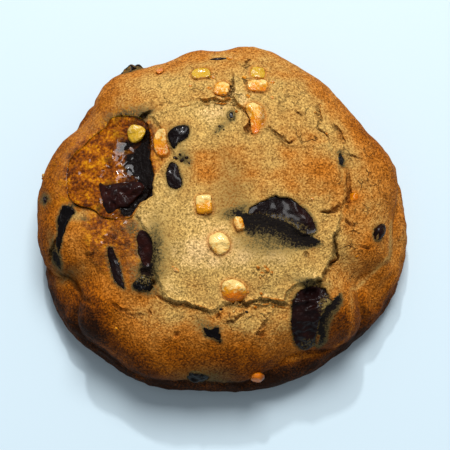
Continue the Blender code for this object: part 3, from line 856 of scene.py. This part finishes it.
chocolateLumps = ((3.0, 0.30, 81), (1.5, 0.14, 82))  # cell, height, seed
roughLumps = ((2.2, 0.45, 86), (1.1, 0.30, 87), (0.6, 0.14, 88))
roughChocolate = (
    "chocolate_lower_right", "chocolate_in_caramel", "chocolate_back_rim", "chocolate_front_side",
    "chocolate_slot_end",
)
chocolatePieces = {  # reddish warmth, dusting all over, more dusting to the right and to the back
    "chocolate_centre": (0.1, 0, 0, 0),
    "chocolate_lower_right": (0.25, 0.05, 0.1, 0),
    "chocolate_slot": (0.6, 0, 0, 0),
    "chocolate_slot_end": (0, 0.3, 0, 0.3),
    "chocolate_strip": (0.2, 0, 0, 0),
    "chocolate_in_caramel": (0.55, 0, 0, 0),
    "chocolate_hook": (0.05, 0.05, 0.1, -0.1),
    "chocolate_by_hook": (0.15, 0, 0, 0),
    "chocolate_left_edge": (0, 0.1, 0, -0.1),
    "chocolate_star": (0, 0.05, 0, 0.1),
    "chocolate_back_bit": (0, 0.15, -0.2, 0),
    "chocolate_right_chip": (0, 0.15, 0, 0.1),
    "chocolate_right_side": (0.25, 0.1, 0.1, 0.1),
    "chocolate_front_side": (0, 0.15, 0, 0),
    "chocolate_back_rim": (0.1, 0.05, 0, 0),
}
chocolateShaping = {  # x, y, half length, half width, turn, how far up or down
    "chocolate_centre": (
        (11, -8.8, 8, 2.2, 4, -0.7), (14, 1, 8, 1.6, -14, -0.3), (21, -4, 4, 0.9, -48, 0.45),
    ),
    "chocolate_lower_right": (
        (22.4, -21.6, 3.4, 1.3, -6, -1.8), (20, -24.2, 3.2, 0.6, 10, 0.7),
        (22.4, -26, 2.2, 0.7, 30, 0.5), (18.6, -28, 0.7, 2.2, 0, 0.4),
        (21.4, -29.4, 1.6, 0.8, -30, 0.5), (20.4, -32.8, 2, 0.8, 20, 0.4),
    ),
    "chocolate_in_caramel": (
        (-26.5, 4.6, 4, 0.8, -8, 0.6), (-23, 3, 2.4, 0.7, 40, 0.5), (-28.5, 1, 1, 3, 0, 0.3),
    ),
    "chocolate_slot": ((-18.6, -14.5, 1.6, 1.8, 0, -0.9), (-19.9, -9.4, 0.6, 2.2, 20, 0.3)),
}
warmSpots = {"chocolate_centre": ((20.5, -3, 4.5, 1.2, -45, 0.35),)}
dustSpots = {
    "chocolate_centre": ((12, -6.6, 8, 3.4, -8, 0.9),),
    "chocolate_lower_right": ((26.4, -25.6, 2, 2.6, 0, 0.8), (21, -34.5, 3, 2.2, 0, 0.3)),
}


def makeChocolate(nodeName, warmth, dust, dustRight, dustBack):
    piece = fineCopy(nodeName)
    swell(piece, chocolateLumps + (roughLumps if nodeName in roughChocolate else ()))
    points = meshPoints(piece)
    x, y, _ = points.T
    if nodeName in chocolateShaping:
        upper = smoothStep(0.45, 0.7, localPlace(points)[2])
        points[:, 2] += upper * spots(x, y, chocolateShaping[nodeName])
    if nodeName in covered:
        sunk = np.clip(0.9 * underSkin(points, nodeName), 0.0, 1.6)
        points[:, 2] -= smoothStep(0.35, 0.7, localPlace(points)[2]) * sunk
    setPoints(piece, points)
    u, v, _ = localPlace(points)
    warm = warmth * (1.0 + 0.8 * softNoise(points, 1.6, 84))
    dusting = dust + dustRight * u + dustBack * v + 0.25 * dust * softNoise(points, 1.2, 85)
    warm += spots(x, y, warmSpots.get(nodeName, ()))
    dusting += spots(x, y, dustSpots.get(nodeName, ()))
    setMasks(piece, warm=warm, dust=dusting)
    rememberForDough(nodeName, piece)
    return register(piece, "melted_" + nodeName, "chocolate", chocolate, nodeName)


for nodeName, values in chocolatePieces.items():
    makeChocolate(nodeName, *values)
print("chocolate pieces:", len(chocolatePieces))


orangeLumps = ((1.8, 0.18, 91), (0.8, 0.09, 92))
orangePieces = {  # frosting, painted light to the back, painted light on top, deep colour, painted shade to the front, burnt at right
    "orange_cube": (0.25, 1.1, 0.1, 0, 0, 0),
    "orange_round": (0.7, 0.2, 0.2, 0.1, 0.35, 0),
    "orange_slab": (0.35, 0, 0.3, 0.5, 0.1, 0),
    "orange_lower": (0.3, 1, 0.1, 0.4, 0.9, 0),
    "orange_back_large": (0.25, 0.45, 0.2, 0.35, 0.5, 0.6),
    "orange_back_yellow": (0.05, 0.1, 0, 0.05, 0.1, 0),
    "orange_back_row": (0.45, 0.4, 0.1, 0.3, 0.4, 0),
    "orange_back_left": (0.35, 0.3, 0.1, 0.2, 0.4, 0),
    "orange_far_left": (0.05, 0, 0.1, 0.2, 0.1, 0),
    "orange_far_small": (0, 0, 0.1, 0.8, 0.2, 0),
    "orange_right_small": (0, 0, 0.1, 0.6, 0.2, 0),
    "orange_in_caramel": (0.15, 0.1, 0.1, 0, 0.2, 0),
    "orange_flap": (0.4, 0.3, 0, 0.5, 0.3, 0.3),
    "orange_front_side": (0, 0, 0, 0.9, 0.2, 0.8),
}
yellowOrange = ("orange_in_caramel", "orange_back_yellow", "orange_far_left")


def makeOrange(nodeName, pale, paleBack, paleTop, deep, deepFront, burntRight):
    piece = fineCopy(nodeName)
    swell(piece, orangeLumps)
    points = meshPoints(piece)
    u, v, w = localPlace(points)
    blotch = 0.15 * softNoise(points, 1.3, 93)
    setMasks(
        piece,
        # paler to the back and on top and deeper to the front: painted light from the back
        pale=pale + paleBack * v + paleTop * (2 * w - 1) + blotch,
        deep=deep - deepFront * v - blotch,
        yellow=np.full(len(points), 0.9 if nodeName in yellowOrange else 0.0),
        burnt=burntRight * smoothStep(0.2, 0.8, u) + 0.5 * smoothStep(0.45, 0.2, w),
    )
    rememberForDough(nodeName, piece)
    return register(piece, "candied_" + nodeName, "orange", orange, nodeName)


for nodeName, values in orangePieces.items():
    makeOrange(nodeName, *values)
print("orange pieces:", len(orangePieces))


# The baked dough

bakedPatches = (  # x, y, half length, half width, turn, how much browner; lighter patches on the lower middle of the plate are painted light
    (24.2, 8.5, 4, 2.6, 30, 0.1), (16.4, 13.5, 3.5, 2.2, 20, 0.1), (23, 10, 9, 6, 0, 0.16),
    (5, 9, 8, 9, 0, 0.16), (-4, -14, 12, 8, 0, -0.1), (-10, -1, 7, 6, 0, -0.02),
    (18, 5, 9, 6, 0, 0.16), (-33, -27, 7, 7, 40, 0.1), (-36, -30, 6, 6, 40, 0.1),
    (0, 37, 30, 8, 0, -0.08), (-33, 22, 12, 5, 45, -0.08), (37, -14, 5, 10, 0, 0.1),
    (30, 3, 3, 5, 0, 0.16), (-5, 8, 4.5, 6.5, -20, 0.12), (-33, -26, 9, 8, 40, 0.12),
    (-26.5, -15, 2.5, 6, 10, 0.12), (-30, -14, 6, 5, 0, 0.12), (26, -33, 7, 4, 30, 0.12),
    (28.5, -27, 3, 5, 0, 0.14), (3, -37, 18, 5, 0, 0.12), (4, -29, 12, 2.5, 0, -0.14),
    (-14, -27.5, 9, 2.2, -10, -0.1), (-4, 24.5, 9, 3, 0, -0.14), (2, -13, 12, 4, 0, -0.08),
    (-11, -4, 6, 6, 0, -0.05), (-37.5, -2, 4, 1.6, 0, -0.2), (36, -28, 6, 9, -30, 0.08),
)
stainSpots = (  # x, y, half length, half width, turn, how dark: melted chocolate in the dough, and painted shade in the hollows beside some pieces
    (11, -9.8, 7, 2.4, -4, 0.3), (3.2, -2, 3.4, 1.3, 22, 0.62), (12, -11.5, 9, 3, 0, 0.14),
    (-19.2, -15.6, 1.4, 2.4, 0, 1), (21.6, -19.6, 3.4, 0.8, -6, 0.7),
    (-19.6, -21.6, 3, 0.9, 0, 0.6), (-42.4, -12.6, 1, 2.4, 15, 0.7),
    (-38.4, 0.7, 2.4, 0.5, 12, 0.6), (-35.6, -2.6, 0.9, 0.5, 0, 0.5), (1, 0.5, 6, 5, 0, 0.11),
    (-16.9, -11.5, 1.7, 6, 4, 0.52), (-19.4, -18, 3, 2, 0, 0.5), (-15, -10, 4, 9, 0, 0.12),
    (-22.6, -6, 2.6, 2, -30, 0.3), (-0.6, 19.4, 1.8, 0.8, 40, 0.42),
    (1, 22.4, 2.2, 2.2, 0, 0.16), (-9.6, 12.2, 2.4, 1.6, -50, 0.34), (-12, 18, 4, 3.5, 0, 0.12),
    (-11.5, 6, 3, 4, 0, 0.16), (-3.6, -31, 3.6, 1.8, -25, 0.34), (-5, -43, 7, 3, 0, 0.3),
    (26.4, -26.5, 1.8, 2.6, 0, 0.3), (-25, 23.8, 5, 1.8, 8, 0.48), (-19.6, 23.6, 2, 1, 25, 0.6),
    (2, 7, 4, 8, 15, 0.1), (-43, -10, 1.3, 4.6, 15, 0.4), (-45.8, 3.3, 1.6, 1.2, 0, 0.7),
    (-39.5, -16.5, 4, 1.4, 20, 0.25), (31, 13, 2, 3, 0, 0.12), (-10.2, 11.2, 1.8, 0.8, -30, 0.5),
)
glazeOutline = (  # where caramel has run over the dough
    (-27.8, 24.3), (-32, 21.4), (-36.3, 17.4), (-39.8, 12.8), (-41, 7.9), (-40.3, 2.7),
    (-37.2, -0.9), (-35.4, -4.2), (-34.6, -9.3), (-32.8, -13.5), (-29.8, -16.9), (-26.8, -19),
    (-23.3, -19.8), (-20.3, -15.8), (-20.8, -9.5), (-18.3, -4.4), (-17, 5), (-17.5, 20),
)
crackledZones = (  # x, y, half length, half width, turn, how many hair cracks
    (24, 21, 9, 8, -50, 1), (8, -29, 12, 4, 0, 0.9), (30, -6, 5, 9, 0, 0.8),
    (3, 32, 11, 6, 0, 0.9), (-30, -11, 6, 5, 0, 0.6), (34, -14, 5, 8, 0, 0.5),
    (-12, -31, 10, 4, 0, 0.5), (36, 8, 6, 10, 0, 0.7), (-15, 30, 8, 5, 20, 0.5),
)
softDips = (  # x, y, half length, half width, turn, height
    (-0.5, 9, 3.5, 11, 20, -0.7), (20, 8, 7, 6, 0, 0.6), (-6.5, 3.5, 4, 5, 0, 0.3),
    (-2.2, -5, 4, 3.5, 0, -0.5), (12, 3.6, 9, 2, -12, 0.5), (-9, -10, 6, 6, 0, 0.35),
    (-15.6, -12, 1.8, 8, 0, 0.5), (8, -16, 8, 4, 0, 0.35), (-24, -13, 2, 6, 10, 0.5),
    (-15.6, 5, 1.6, 5, 0, 0.5), (-20.5, -1, 2, 2.4, 0, 0.4), (-33, -14, 5, 5, 0, 0.5),
)
rims = {  # crests of the folds in the outline
    "right": (
        (43.2, -2.2), (43.1, -7), (42.6, -11.5), (39, -14.8), (34.1, -19.6), (32.3, -20.6),
        (32.6, -24.7), (32.6, -29.2), (32, -32.6), (29.4, -34.1), (25.5, -35.9), (16.3, -37.7),
    ),
    "left": (
        (-43.4, -15), (-40.7, -16.2), (-38.3, -17.6), (-37.7, -19.3), (-35.5, -22.7),
        (-32.7, -25.1),
    ),
}
craggyZones = (  # x, y, half length, half width, turn, how rough
    (3, 32, 12, 6, 0, 0.45), (8, -27.5, 10, 2.5, 0, 0.35), (28, -3, 4, 9, 0, 0.25),
    (26, 19, 7, 5, -50, 0.25), (-17, 24, 6, 2.5, 20, 0.3), (-30, -9, 6, 4, 0, 0.3),
    (-16, 6, 2, 6, 0, 0.3), (10, -17, 3, 2, 0, 0.35), (22, -21, 5, 2.5, 0, 0.3),
)
crustWaves = ((9.0, 0.30, 5), (4.2, 0.26, 6), (2.0, 0.13, 7))  # cell, height, seed
crackWidth = 0.48  # of the half widths in the table above
lowestCrack = 9.0


def crackDepth(points):
    # how deep the cracks and single holes are at each point, and how much painted shade darkens
    # them
    x, y = ragged(points)
    depth, dark = np.zeros(len(points)), np.zeros(len(points))
    uneven = 1.0 + 0.6 * softNoise(points, 1.3, 41)
    lines = [(halfWidth * crackWidth, most, course) for halfWidth, most, course in cracks]
    lines.append((0.5, 1.3, rims["left"]))  # the fold at the left is open like a crack
    for halfWidth, most, course in lines:
        far = np.array(course)
        near = (x > far[:, 0].min() - 4) & (x < far[:, 0].max() + 4)
        near &= (y > far[:, 1].min() - 4) & (y < far[:, 1].max() + 4)
        near &= points[:, 2] > lowestCrack
        distance, along, _ = lineDistance(x[near], y[near], course)
        taper = np.clip(5.0 * np.minimum(along, 1.0 - along) + 0.25, 0.0, 1.0)
        width = halfWidth * np.clip(uneven[near], 0.3, 1.7) * (0.4 + 0.6 * taper)
        wall = np.clip(1.0 - distance / (width + 0.16), 0.0, 1.0) ** 0.6
        lip = 0.2 * np.exp(-(((distance - 1.5 * width - 0.3) / 0.6) ** 2))
        lip = np.where(wall > 0, 0.0, lip * taper)
        depth[near] = np.maximum(depth[near], most * taper * wall) - lip
        shade = np.clip(1.35 - distance / (width + 0.1), 0.0, 1.0)
        dark[near] = np.maximum(dark[near], taper * shade)
    for px, py, radius, most in pits:
        bowl = spot(x, y, px, py, radius * 0.7) * (points[:, 2] > dough["belly"])
        depth += most * bowl
        dark = np.maximum(dark, 0.55 * bowl * min(1.0, most / 1.5))
    return depth, dark


def pressUnder(points, nodeName, reach=9.0, clearance=0.15):
    # lays the dough just beneath a piece, with a torn edge over the piece's border
    tree, low, high, way = pressedPieces[nodeName]
    most = overlaps.get(nodeName, overlaps[nodeName.split("_")[0]])
    box = (points > low - 0.5 - reach * np.abs(way)) & (points < high + 0.5 + reach * np.abs(way))
    near = np.nonzero(box.all(axis=1))[0]
    if not len(near):
        return
    uneven = 1.0 + 0.8 * softNoise(points[near], 1.1, 51) + 0.4 * softNoise(points[near], 0.5, 52)
    margin = np.clip(most * uneven, 0.05, None)
    skin = underSkin(points[near], nodeName)
    direction = Vector(way)
    aside = direction.orthogonal().normalized()
    across = direction.cross(aside)
    turns = np.arange(8) * math.tau / 8
    ring = [aside * math.cos(turn) + across * math.sin(turn) for turn in turns]
    for index, edge, skinned in zip(near, margin, skin):
        start = Vector(points[index]) - direction * reach
        distance = tree.ray_cast(start * mm, direction, (reach + 0.05) * mm)[3]
        if distance is None:
            continue
        inner = all(
            tree.ray_cast((start + offset * edge) * mm, direction, 2 * reach * mm)[0]
            for offset in ring
        )
        if inner and skinned < 0.0:
            points[index] = np.array(start) + way * (distance / mm - clearance)
        else:
            back = Vector(points[index]) + direction * reach
            top = tree.ray_cast(back * mm, -direction, 2 * reach * mm)[3] / mm
            points[index] += way * max(0.0, reach - top + 0.16 + min(0.3, 0.2 * max(0.0, skinned)))


def distanceTo(points, nodeName, most):
    tree, low, high, _ = pressedPieces[nodeName]
    distance = np.full(len(points), most)
    near = np.all((points > low - most) & (points < high + most), axis=1)
    for index in np.nonzero(near)[0]:
        found = tree.find_nearest(Vector(points[index]) * mm, most * mm)
        if found[3] is not None:
            distance[index] = found[3] / mm
    return distance


def makeDough():
    bpy.ops.object.select_all(action="DESELECT")
    bpy.ops.mesh.primitive_cube_add(size=2.0, location=(0.0, 0.0, 0.0))
    piece = bpy.context.object
    bpy.ops.object.mode_set(mode="EDIT")
    bpy.ops.mesh.select_all(action="SELECT")
    bpy.ops.mesh.subdivide(number_cuts=dough["gridCuts"])
    bpy.ops.mesh.subdivide(number_cuts=2)
    bpy.ops.object.mode_set(mode="OBJECT")
    spread = np.tan(meshPoints(piece) * mm * math.pi / 4)  # keeps the ball's faces alike in size
    directions = spread / np.linalg.norm(spread, axis=1, keepdims=True)
    points = plainDough(directions)
    plain = points.copy()
    onTop = smoothStep(dough["belly"], dough["belly"] + 5.0, points[:, 2])
    tornX, tornY = ragged(points)
    edge = edgeDistance(tornX, tornY, plateOutline)
    points[:, 2] += (broadRelief(tornX, tornY) + spots(plain[:, 0], plain[:, 1], softDips)) * onTop
    points[:, 2] += 0.45 * np.exp(-((edge + 0.9) / 0.8) ** 2) * onTop  # the plate's raised rim
    points[:, 2] -= crackDepth(plain)[0] * onTop
    toPool = edgeDistance(*ragged(plain, 0.5), poolOutline)
    basin = smoothStep(0.1, -1.1, toPool)
    points[:, 2] -= dough["basinDepth"] * basin * onTop
    leftOfPool = (1.0 - basin) * smoothStep(-19.0, -24.0, plain[:, 0])
    points[:, 2] -= 0.35 * np.exp(-np.clip(toPool, 0.0, None) / 2.0) * leftOfPool * onTop
    setPoints(piece, points)
    normals = meshNormals(piece)
    lifted = smoothStep(0.3, 3.0, points[:, 2]) * (1.0 - basin * onTop)
    waves = layers(plain, crustWaves)
    squeezed = plain * np.array([0.35, 0.35, 1.0])  # so that the ridges lie along the sides
    ridges = (1.0 - onTop) * (0.4 * softNoise(squeezed, 2.6, 61) + 0.2 * softNoise(plain, 1.6, 62))
    crags = softNoise(plain, 1.5, 63) + 0.6 * softNoise(plain, 0.8, 64)
    waves += spots(plain[:, 0], plain[:, 1], craggyZones) * crags * onTop
    points += normals * ((waves + ridges - 0.25) * lifted)[:, None]
    for nodeName in pressedPieces:
        pressUnder(points, nodeName)
    setPoints(piece, points)
    applyModifier(piece, "DECIMATE", ratio=dough["keptFaces"])
    return piece


baking = {  # from 0, pale, to 1, nearly burnt; from "front" on, how much is added there
    "border": 0.40,
    "plate": 0.28,
    "underside": 0.66,
    "front": 0.10,
    "right": -0.05,
    "rim": 0.28,
    "backRim": -0.02,
    "foot": 0.10,
    # painted shade: the foot darker towards the front
    "frontFoot": 0.30,
    # painted light: the right foot lighter
    "rightFoot": -0.22,
    # painted highlight along the crests of the folds
    "foldCrests": -0.16,
}
seeping = {"chocolate": (0.55, 0.35), "orange": (0.8, 0.8)}  # how strong at a piece, and how far: for chocolate a dark ring, partly melted stain and partly painted contact shade; for orange, juice
skinFades = {"chocolate_centre": 7.0, "chocolate_lower_right": 2.6}  # how far the dust reaches


def paintDough(piece):
    points = meshPoints(piece)
    normals = meshNormals(piece)
    x, y, z = points.T
    tornX, tornY = ragged(points)
    angle = np.degrees(np.arctan2(y, x))
    reach = np.hypot(x, y) / outlineRadius(angle)
    onTop = smoothStep(dough["belly"], dough["belly"] + 5.0, z)
    edge = edgeDistance(tornX, tornY, plateOutline)
    plate = (1.0 - smoothStep(-0.5, 0.5, edge)) * onTop
    ring = baking["border"] - baking["front"] * y / 45.0 + baking["right"] * x / 48.0
    rim = baking["rim"] + baking["backRim"] * smoothStep(15.0, 35.0, y)
    # the foot is browner, and darker still towards the front with painted shade
    foot = baking["foot"] + baking["frontFoot"] * smoothStep(5.0, 35.0, -y)
    # painted light on the right foot
    rightFoot = baking["rightFoot"] * spot(x, y, 45.0, -6.0, 9.0, 16.0)
    ring += rim * smoothStep(0.70, 0.98, reach) + foot * smoothStep(17.0, 6.0, z)
    ring += rightFoot * smoothStep(16.0, 10.0, z)
    bake = ring * (1.0 - plate) + baking["plate"] * plate
    bake += spots(tornX, tornY, bakedPatches) * onTop
    bake += 0.08 * softNoise(points, 7.0, 71) + 0.05 * softNoise(points, 2.5, 72)
    # a painted highlight along the crests of the folds
    for course in rims.values():
        crest = np.exp(-(lineDistance(x, y, course)[0] / 0.6) ** 2)
        bake += baking["foldCrests"] * crest * (z > lowestCrack)
    below = baking["underside"] + 0.12 * softNoise(points, 5.0, 73)
    bake = np.where(normals[:, 2] < -0.7, below, bake)
    # chocolate stains in the dough, and painted shade in hollows and where the dough meets a
    # chocolate piece
    soaked = {"chocolate": spots(tornX, tornY, stainSpots) * smoothStep(8.0, 14.0, z)}
    soaked["orange"] = np.zeros(len(points))
    for nodeName in pressedPieces:
        kind = nodeName.split("_")[0]
        most, fade = seeping[kind]
        near = distanceTo(points, nodeName, 4.0)
        seeped = most * np.exp(-near / fade) * (near < 3.9)
        soaked[kind] = np.maximum(soaked[kind], seeped)
    stain, juice = soaked["chocolate"], soaked["orange"]
    for nodeName, depth in skinFades.items():
        skin = underSkin(points, nodeName)
        fade = np.clip(1.3 - np.clip(skin, 0.0, None) / depth, 0.0, 1.0)
        fade *= smoothStep(4.0, 2.2, distanceTo(points, nodeName, 4.0))
        stain = np.maximum(stain, fade * (skin > -0.4))
    toPool = edgeDistance(tornX, tornY, poolOutline)
    toGlaze = edgeDistance(tornX, tornY, glazeOutline)
    toGlaze += layers(points, ((2.2, 1.6, 74), (0.9, 0.8, 75)))
    sticky = smoothStep(1.4, -1.6, toGlaze) * (1.0 - 0.35 * smoothStep(-6.0, -18.0, y))
    spilt = 1.2 * np.exp(-np.clip(toPool, 0.0, None) / 2.2)
    glaze = np.clip(np.maximum(sticky, spilt) * smoothStep(0.0, 1.2, edge), 0.0, 1.0)
    glaze *= smoothStep(dough["belly"] - 2.0, dough["belly"] + 1.0, z)
    glaze *= 1.0 - 0.8 * spot(x, y, -37.0, -1.5, 4.0, 1.8, 0)
    # painted shade in the cracks and holes
    dark = crackDepth(points)[1]
    setMasks(piece, bake=bake, stain=stain, juice=juice, glaze=glaze)
    setMasks(piece, crack=dark * 0.72, crackle=spots(x, y, crackledZones) * onTop)


doughCrust = makeDough()
paintDough(doughCrust)
register(doughCrust, "doughCrust", "dough", crust, "dough")
print("the dough is baked:", len(doughCrust.data.polygons), "faces")


# The caramel pool

pool = {
    "segments": 180,
    "rings": 120,
    "level": -0.35,
    "underside": 3.2,
    "border": -0.5,
    "waves": ((3.2, 0.30, 101), (1.5, 0.2, 102), (0.8, 0.08, 103)),  # cell, height, seed
}


def makePool():
    bpy.ops.object.select_all(action="DESELECT")
    segments = pool["segments"]
    bpy.ops.mesh.primitive_uv_sphere_add(segments=segments, ring_count=pool["rings"], radius=1.0)
    piece = bpy.context.object
    ball = meshPoints(piece) * mm
    border = evenOutline(poolOutline, segments)
    middle = border.mean(axis=0)
    turn = np.arctan2(ball[:, 1], ball[:, 0]) / math.tau
    column = np.round(turn * segments).astype(int) % segments
    polar = np.arccos(np.clip(ball[:, 2], -1.0, 1.0))
    reach = np.where(np.hypot(ball[:, 0], ball[:, 1]) < 1e-4, 0.0, np.sin(polar) ** 0.55)
    flat = middle + reach[:, None] * (border[column] - middle)
    level = np.clip(np.abs(np.cos(polar)), 0.0, 1.0) ** 0.5
    flatPoints = np.column_stack([flat, np.zeros(len(flat))])
    x, y = flat.T
    drop = 1.1 * smoothStep(-28.0, -21.0, x) * smoothStep(0.0, 0.4, level)
    drop -= 0.3 * smoothStep(-23.0, -29.0, x)
    waves = layers(flatPoints, pool["waves"])
    top = (pool["level"] - drop + waves) * level + pool["border"] * (1 - level)
    height = np.where(ball[:, 2] > 0, top, -pool["underside"] * level)
    setPoints(piece, np.column_stack([x, y, surfaceHeight(x, y) + height]))
    syrup = spots(x, y, ((-20.4, 11.0, 5.6, 10.5, 6, 1.15), (-22.5, 1.5, 7.0, 4.0, 20, 0.9)))
    syrup += 0.35 * softNoise(flatPoints, 2.4, 104) * (syrup > 0.05)
    setMasks(piece, syrup=syrup)
    return register(piece, "caramelPool", "caramel", caramel, "caramel_pool")


makePool()
print("the caramel is poured")


# Small bits that lie on the dough

bits = {  # x, y, length, width, height, turn
    "chocolateFragments": (
        (-11.9, 11.6, 1.3, 0.8, 0.7, 20), (-10.4, 11, 1, 0.7, 0.6, -40),
        (-9.2, 11.7, 0.9, 0.6, 0.5, 10), (-8.5, 10.3, 0.7, 0.5, 0.4, 60),
        (-10.9, 12.6, 0.8, 0.5, 0.5, 80), (-0.9, 19.9, 0.8, 0.5, 0.4, 30),
        (-1.9, 18.4, 0.6, 0.4, 0.35, 0), (0.1, 19, 0.6, 0.4, 0.3, 70),
        (-1.3, 17.4, 0.5, 0.35, 0.3, 20), (-0.4, 25, 0.6, 0.4, 0.3, 0),
        (5.8, -27, 0.8, 0.6, 0.5, 30), (-0.6, -26.4, 0.9, 0.7, 0.4, 0),
        (-45.6, 3, 1.6, 1, 0.8, 70), (-31.2, 14.6, 0.7, 0.5, 0.4, 0),
        (-1.4, 39.6, 4.6, 0.8, 0.6, -4),
    ),
    "orangeZest": (
        (1.7, 39.7, 1.9, 1.2, 1, 15), (-11.6, -16.8, 1.3, 1, 0.5, 30),
        (-12.6, -16, 0.7, 0.5, 0.4, 0), (-26.8, -30.5, 0.7, 0.5, 0.5, 0),
        (6.4, 28.4, 1.6, 1.1, 0.8, 40), (12.6, 32.4, 1.4, 1, 0.7, -30),
        (5.4, 33.6, 1.2, 0.9, 0.6, 10), (-2.6, 33.8, 1.5, 1.1, 0.6, 20),
        (-3.6, 30.6, 1.3, 1, 0.6, 0), (-8.4, 31.4, 1.1, 0.8, 0.5, 50),
        (12.4, 28.2, 1, 0.8, 0.5, 0), (33.8, -12.4, 0.9, 0.6, 0.5, 0),
        (22.4, 1.4, 0.9, 0.7, 0.4, 20),
    ),
    "toastedCrumbs": (
        (8.6, -16.2, 1.1, 0.9, 0.8, 0), (9.8, -17.6, 1.3, 1, 0.9, 30),
        (11, -16.8, 1.2, 0.9, 0.8, 60), (12.1, -17.4, 0.9, 0.7, 0.6, 0),
        (10.4, -15.9, 0.8, 0.6, 0.6, 20), (9.2, -18.6, 0.8, 0.7, 0.5, 70),
        (7.6, -17.3, 0.7, 0.5, 0.5, 10), (6.2, -22.2, 0.8, 0.6, 0.5, 0),
        (9.4, -22.4, 0.7, 0.6, 0.4, 40), (-47, 10.8, 1.5, 1.2, 1.3, 30),
        (-46.6, 9.2, 1, 0.9, 0.9, 0), (-15.4, 11.6, 1, 0.7, 0.6, 60),
        (23.6, 24.6, 0.8, 0.6, 0.5, 0), (26.4, 18.8, 0.9, 0.7, 0.5, 20),
        (3.4, 23.9, 0.8, 0.6, 0.5, 40), (7.9, -25.8, 0.9, 0.7, 0.6, 0),
        (12.4, -25.6, 0.8, 0.6, 0.5, 35), (2.6, -26.8, 0.8, 0.6, 0.5, 15),
    ),
}


def scatterBits(name, slotName, material, masks):
    doughTree = treeOf(doughCrust)
    bpy.ops.object.select_all(action="DESELECT")
    made = []
    for x, y, length, width, height, turn in bits[name]:
        hit = doughTree.ray_cast(Vector((x, y, 60.0)) * mm, Vector((0.0, 0.0, -1.0)))[0]
        if hit is None:
            hit = doughTree.find_nearest(Vector((x, y, 12.0)) * mm)[0]  # it hangs on the steep side
        bpy.ops.mesh.primitive_ico_sphere_add(subdivisions=3, radius=0.5 * mm, location=hit)
        bpy.ops.transform.resize(value=(length, width, height))
        turn = math.radians(turn)
        bpy.ops.transform.rotate(value=turn, orient_axis="Z", center_override=hit)
        made.append(bpy.context.object)
    bpy.ops.object.select_all(action="DESELECT")
    for piece in made:
        piece.select_set(True)
    bpy.context.view_layer.objects.active = made[0]
    bpy.ops.object.join()
    piece = bpy.context.object
    bpy.ops.object.transform_apply(location=True, rotation=True, scale=True)
    swell(piece, ((0.7, 0.16, 111), (0.35, 0.08, 112)))
    uneven = 0.4 * softNoise(meshPoints(piece), 0.9, 113)
    setMasks(piece, **{name: value + uneven for name, value in masks.items()})
    return register(piece, name, slotName, material)


scatterBits("chocolateFragments", "chocolate", chocolate, {"warm": 0.3, "dust": 0.0})
scatterBits("orangeZest", "orange", orange, {"pale": 0.2, "deep": 0.4, "burnt": 0.1})
scatterBits("toastedCrumbs", "dough", crust, {"bake": 0.5, "juice": 0.2})
print("the small bits are scattered")
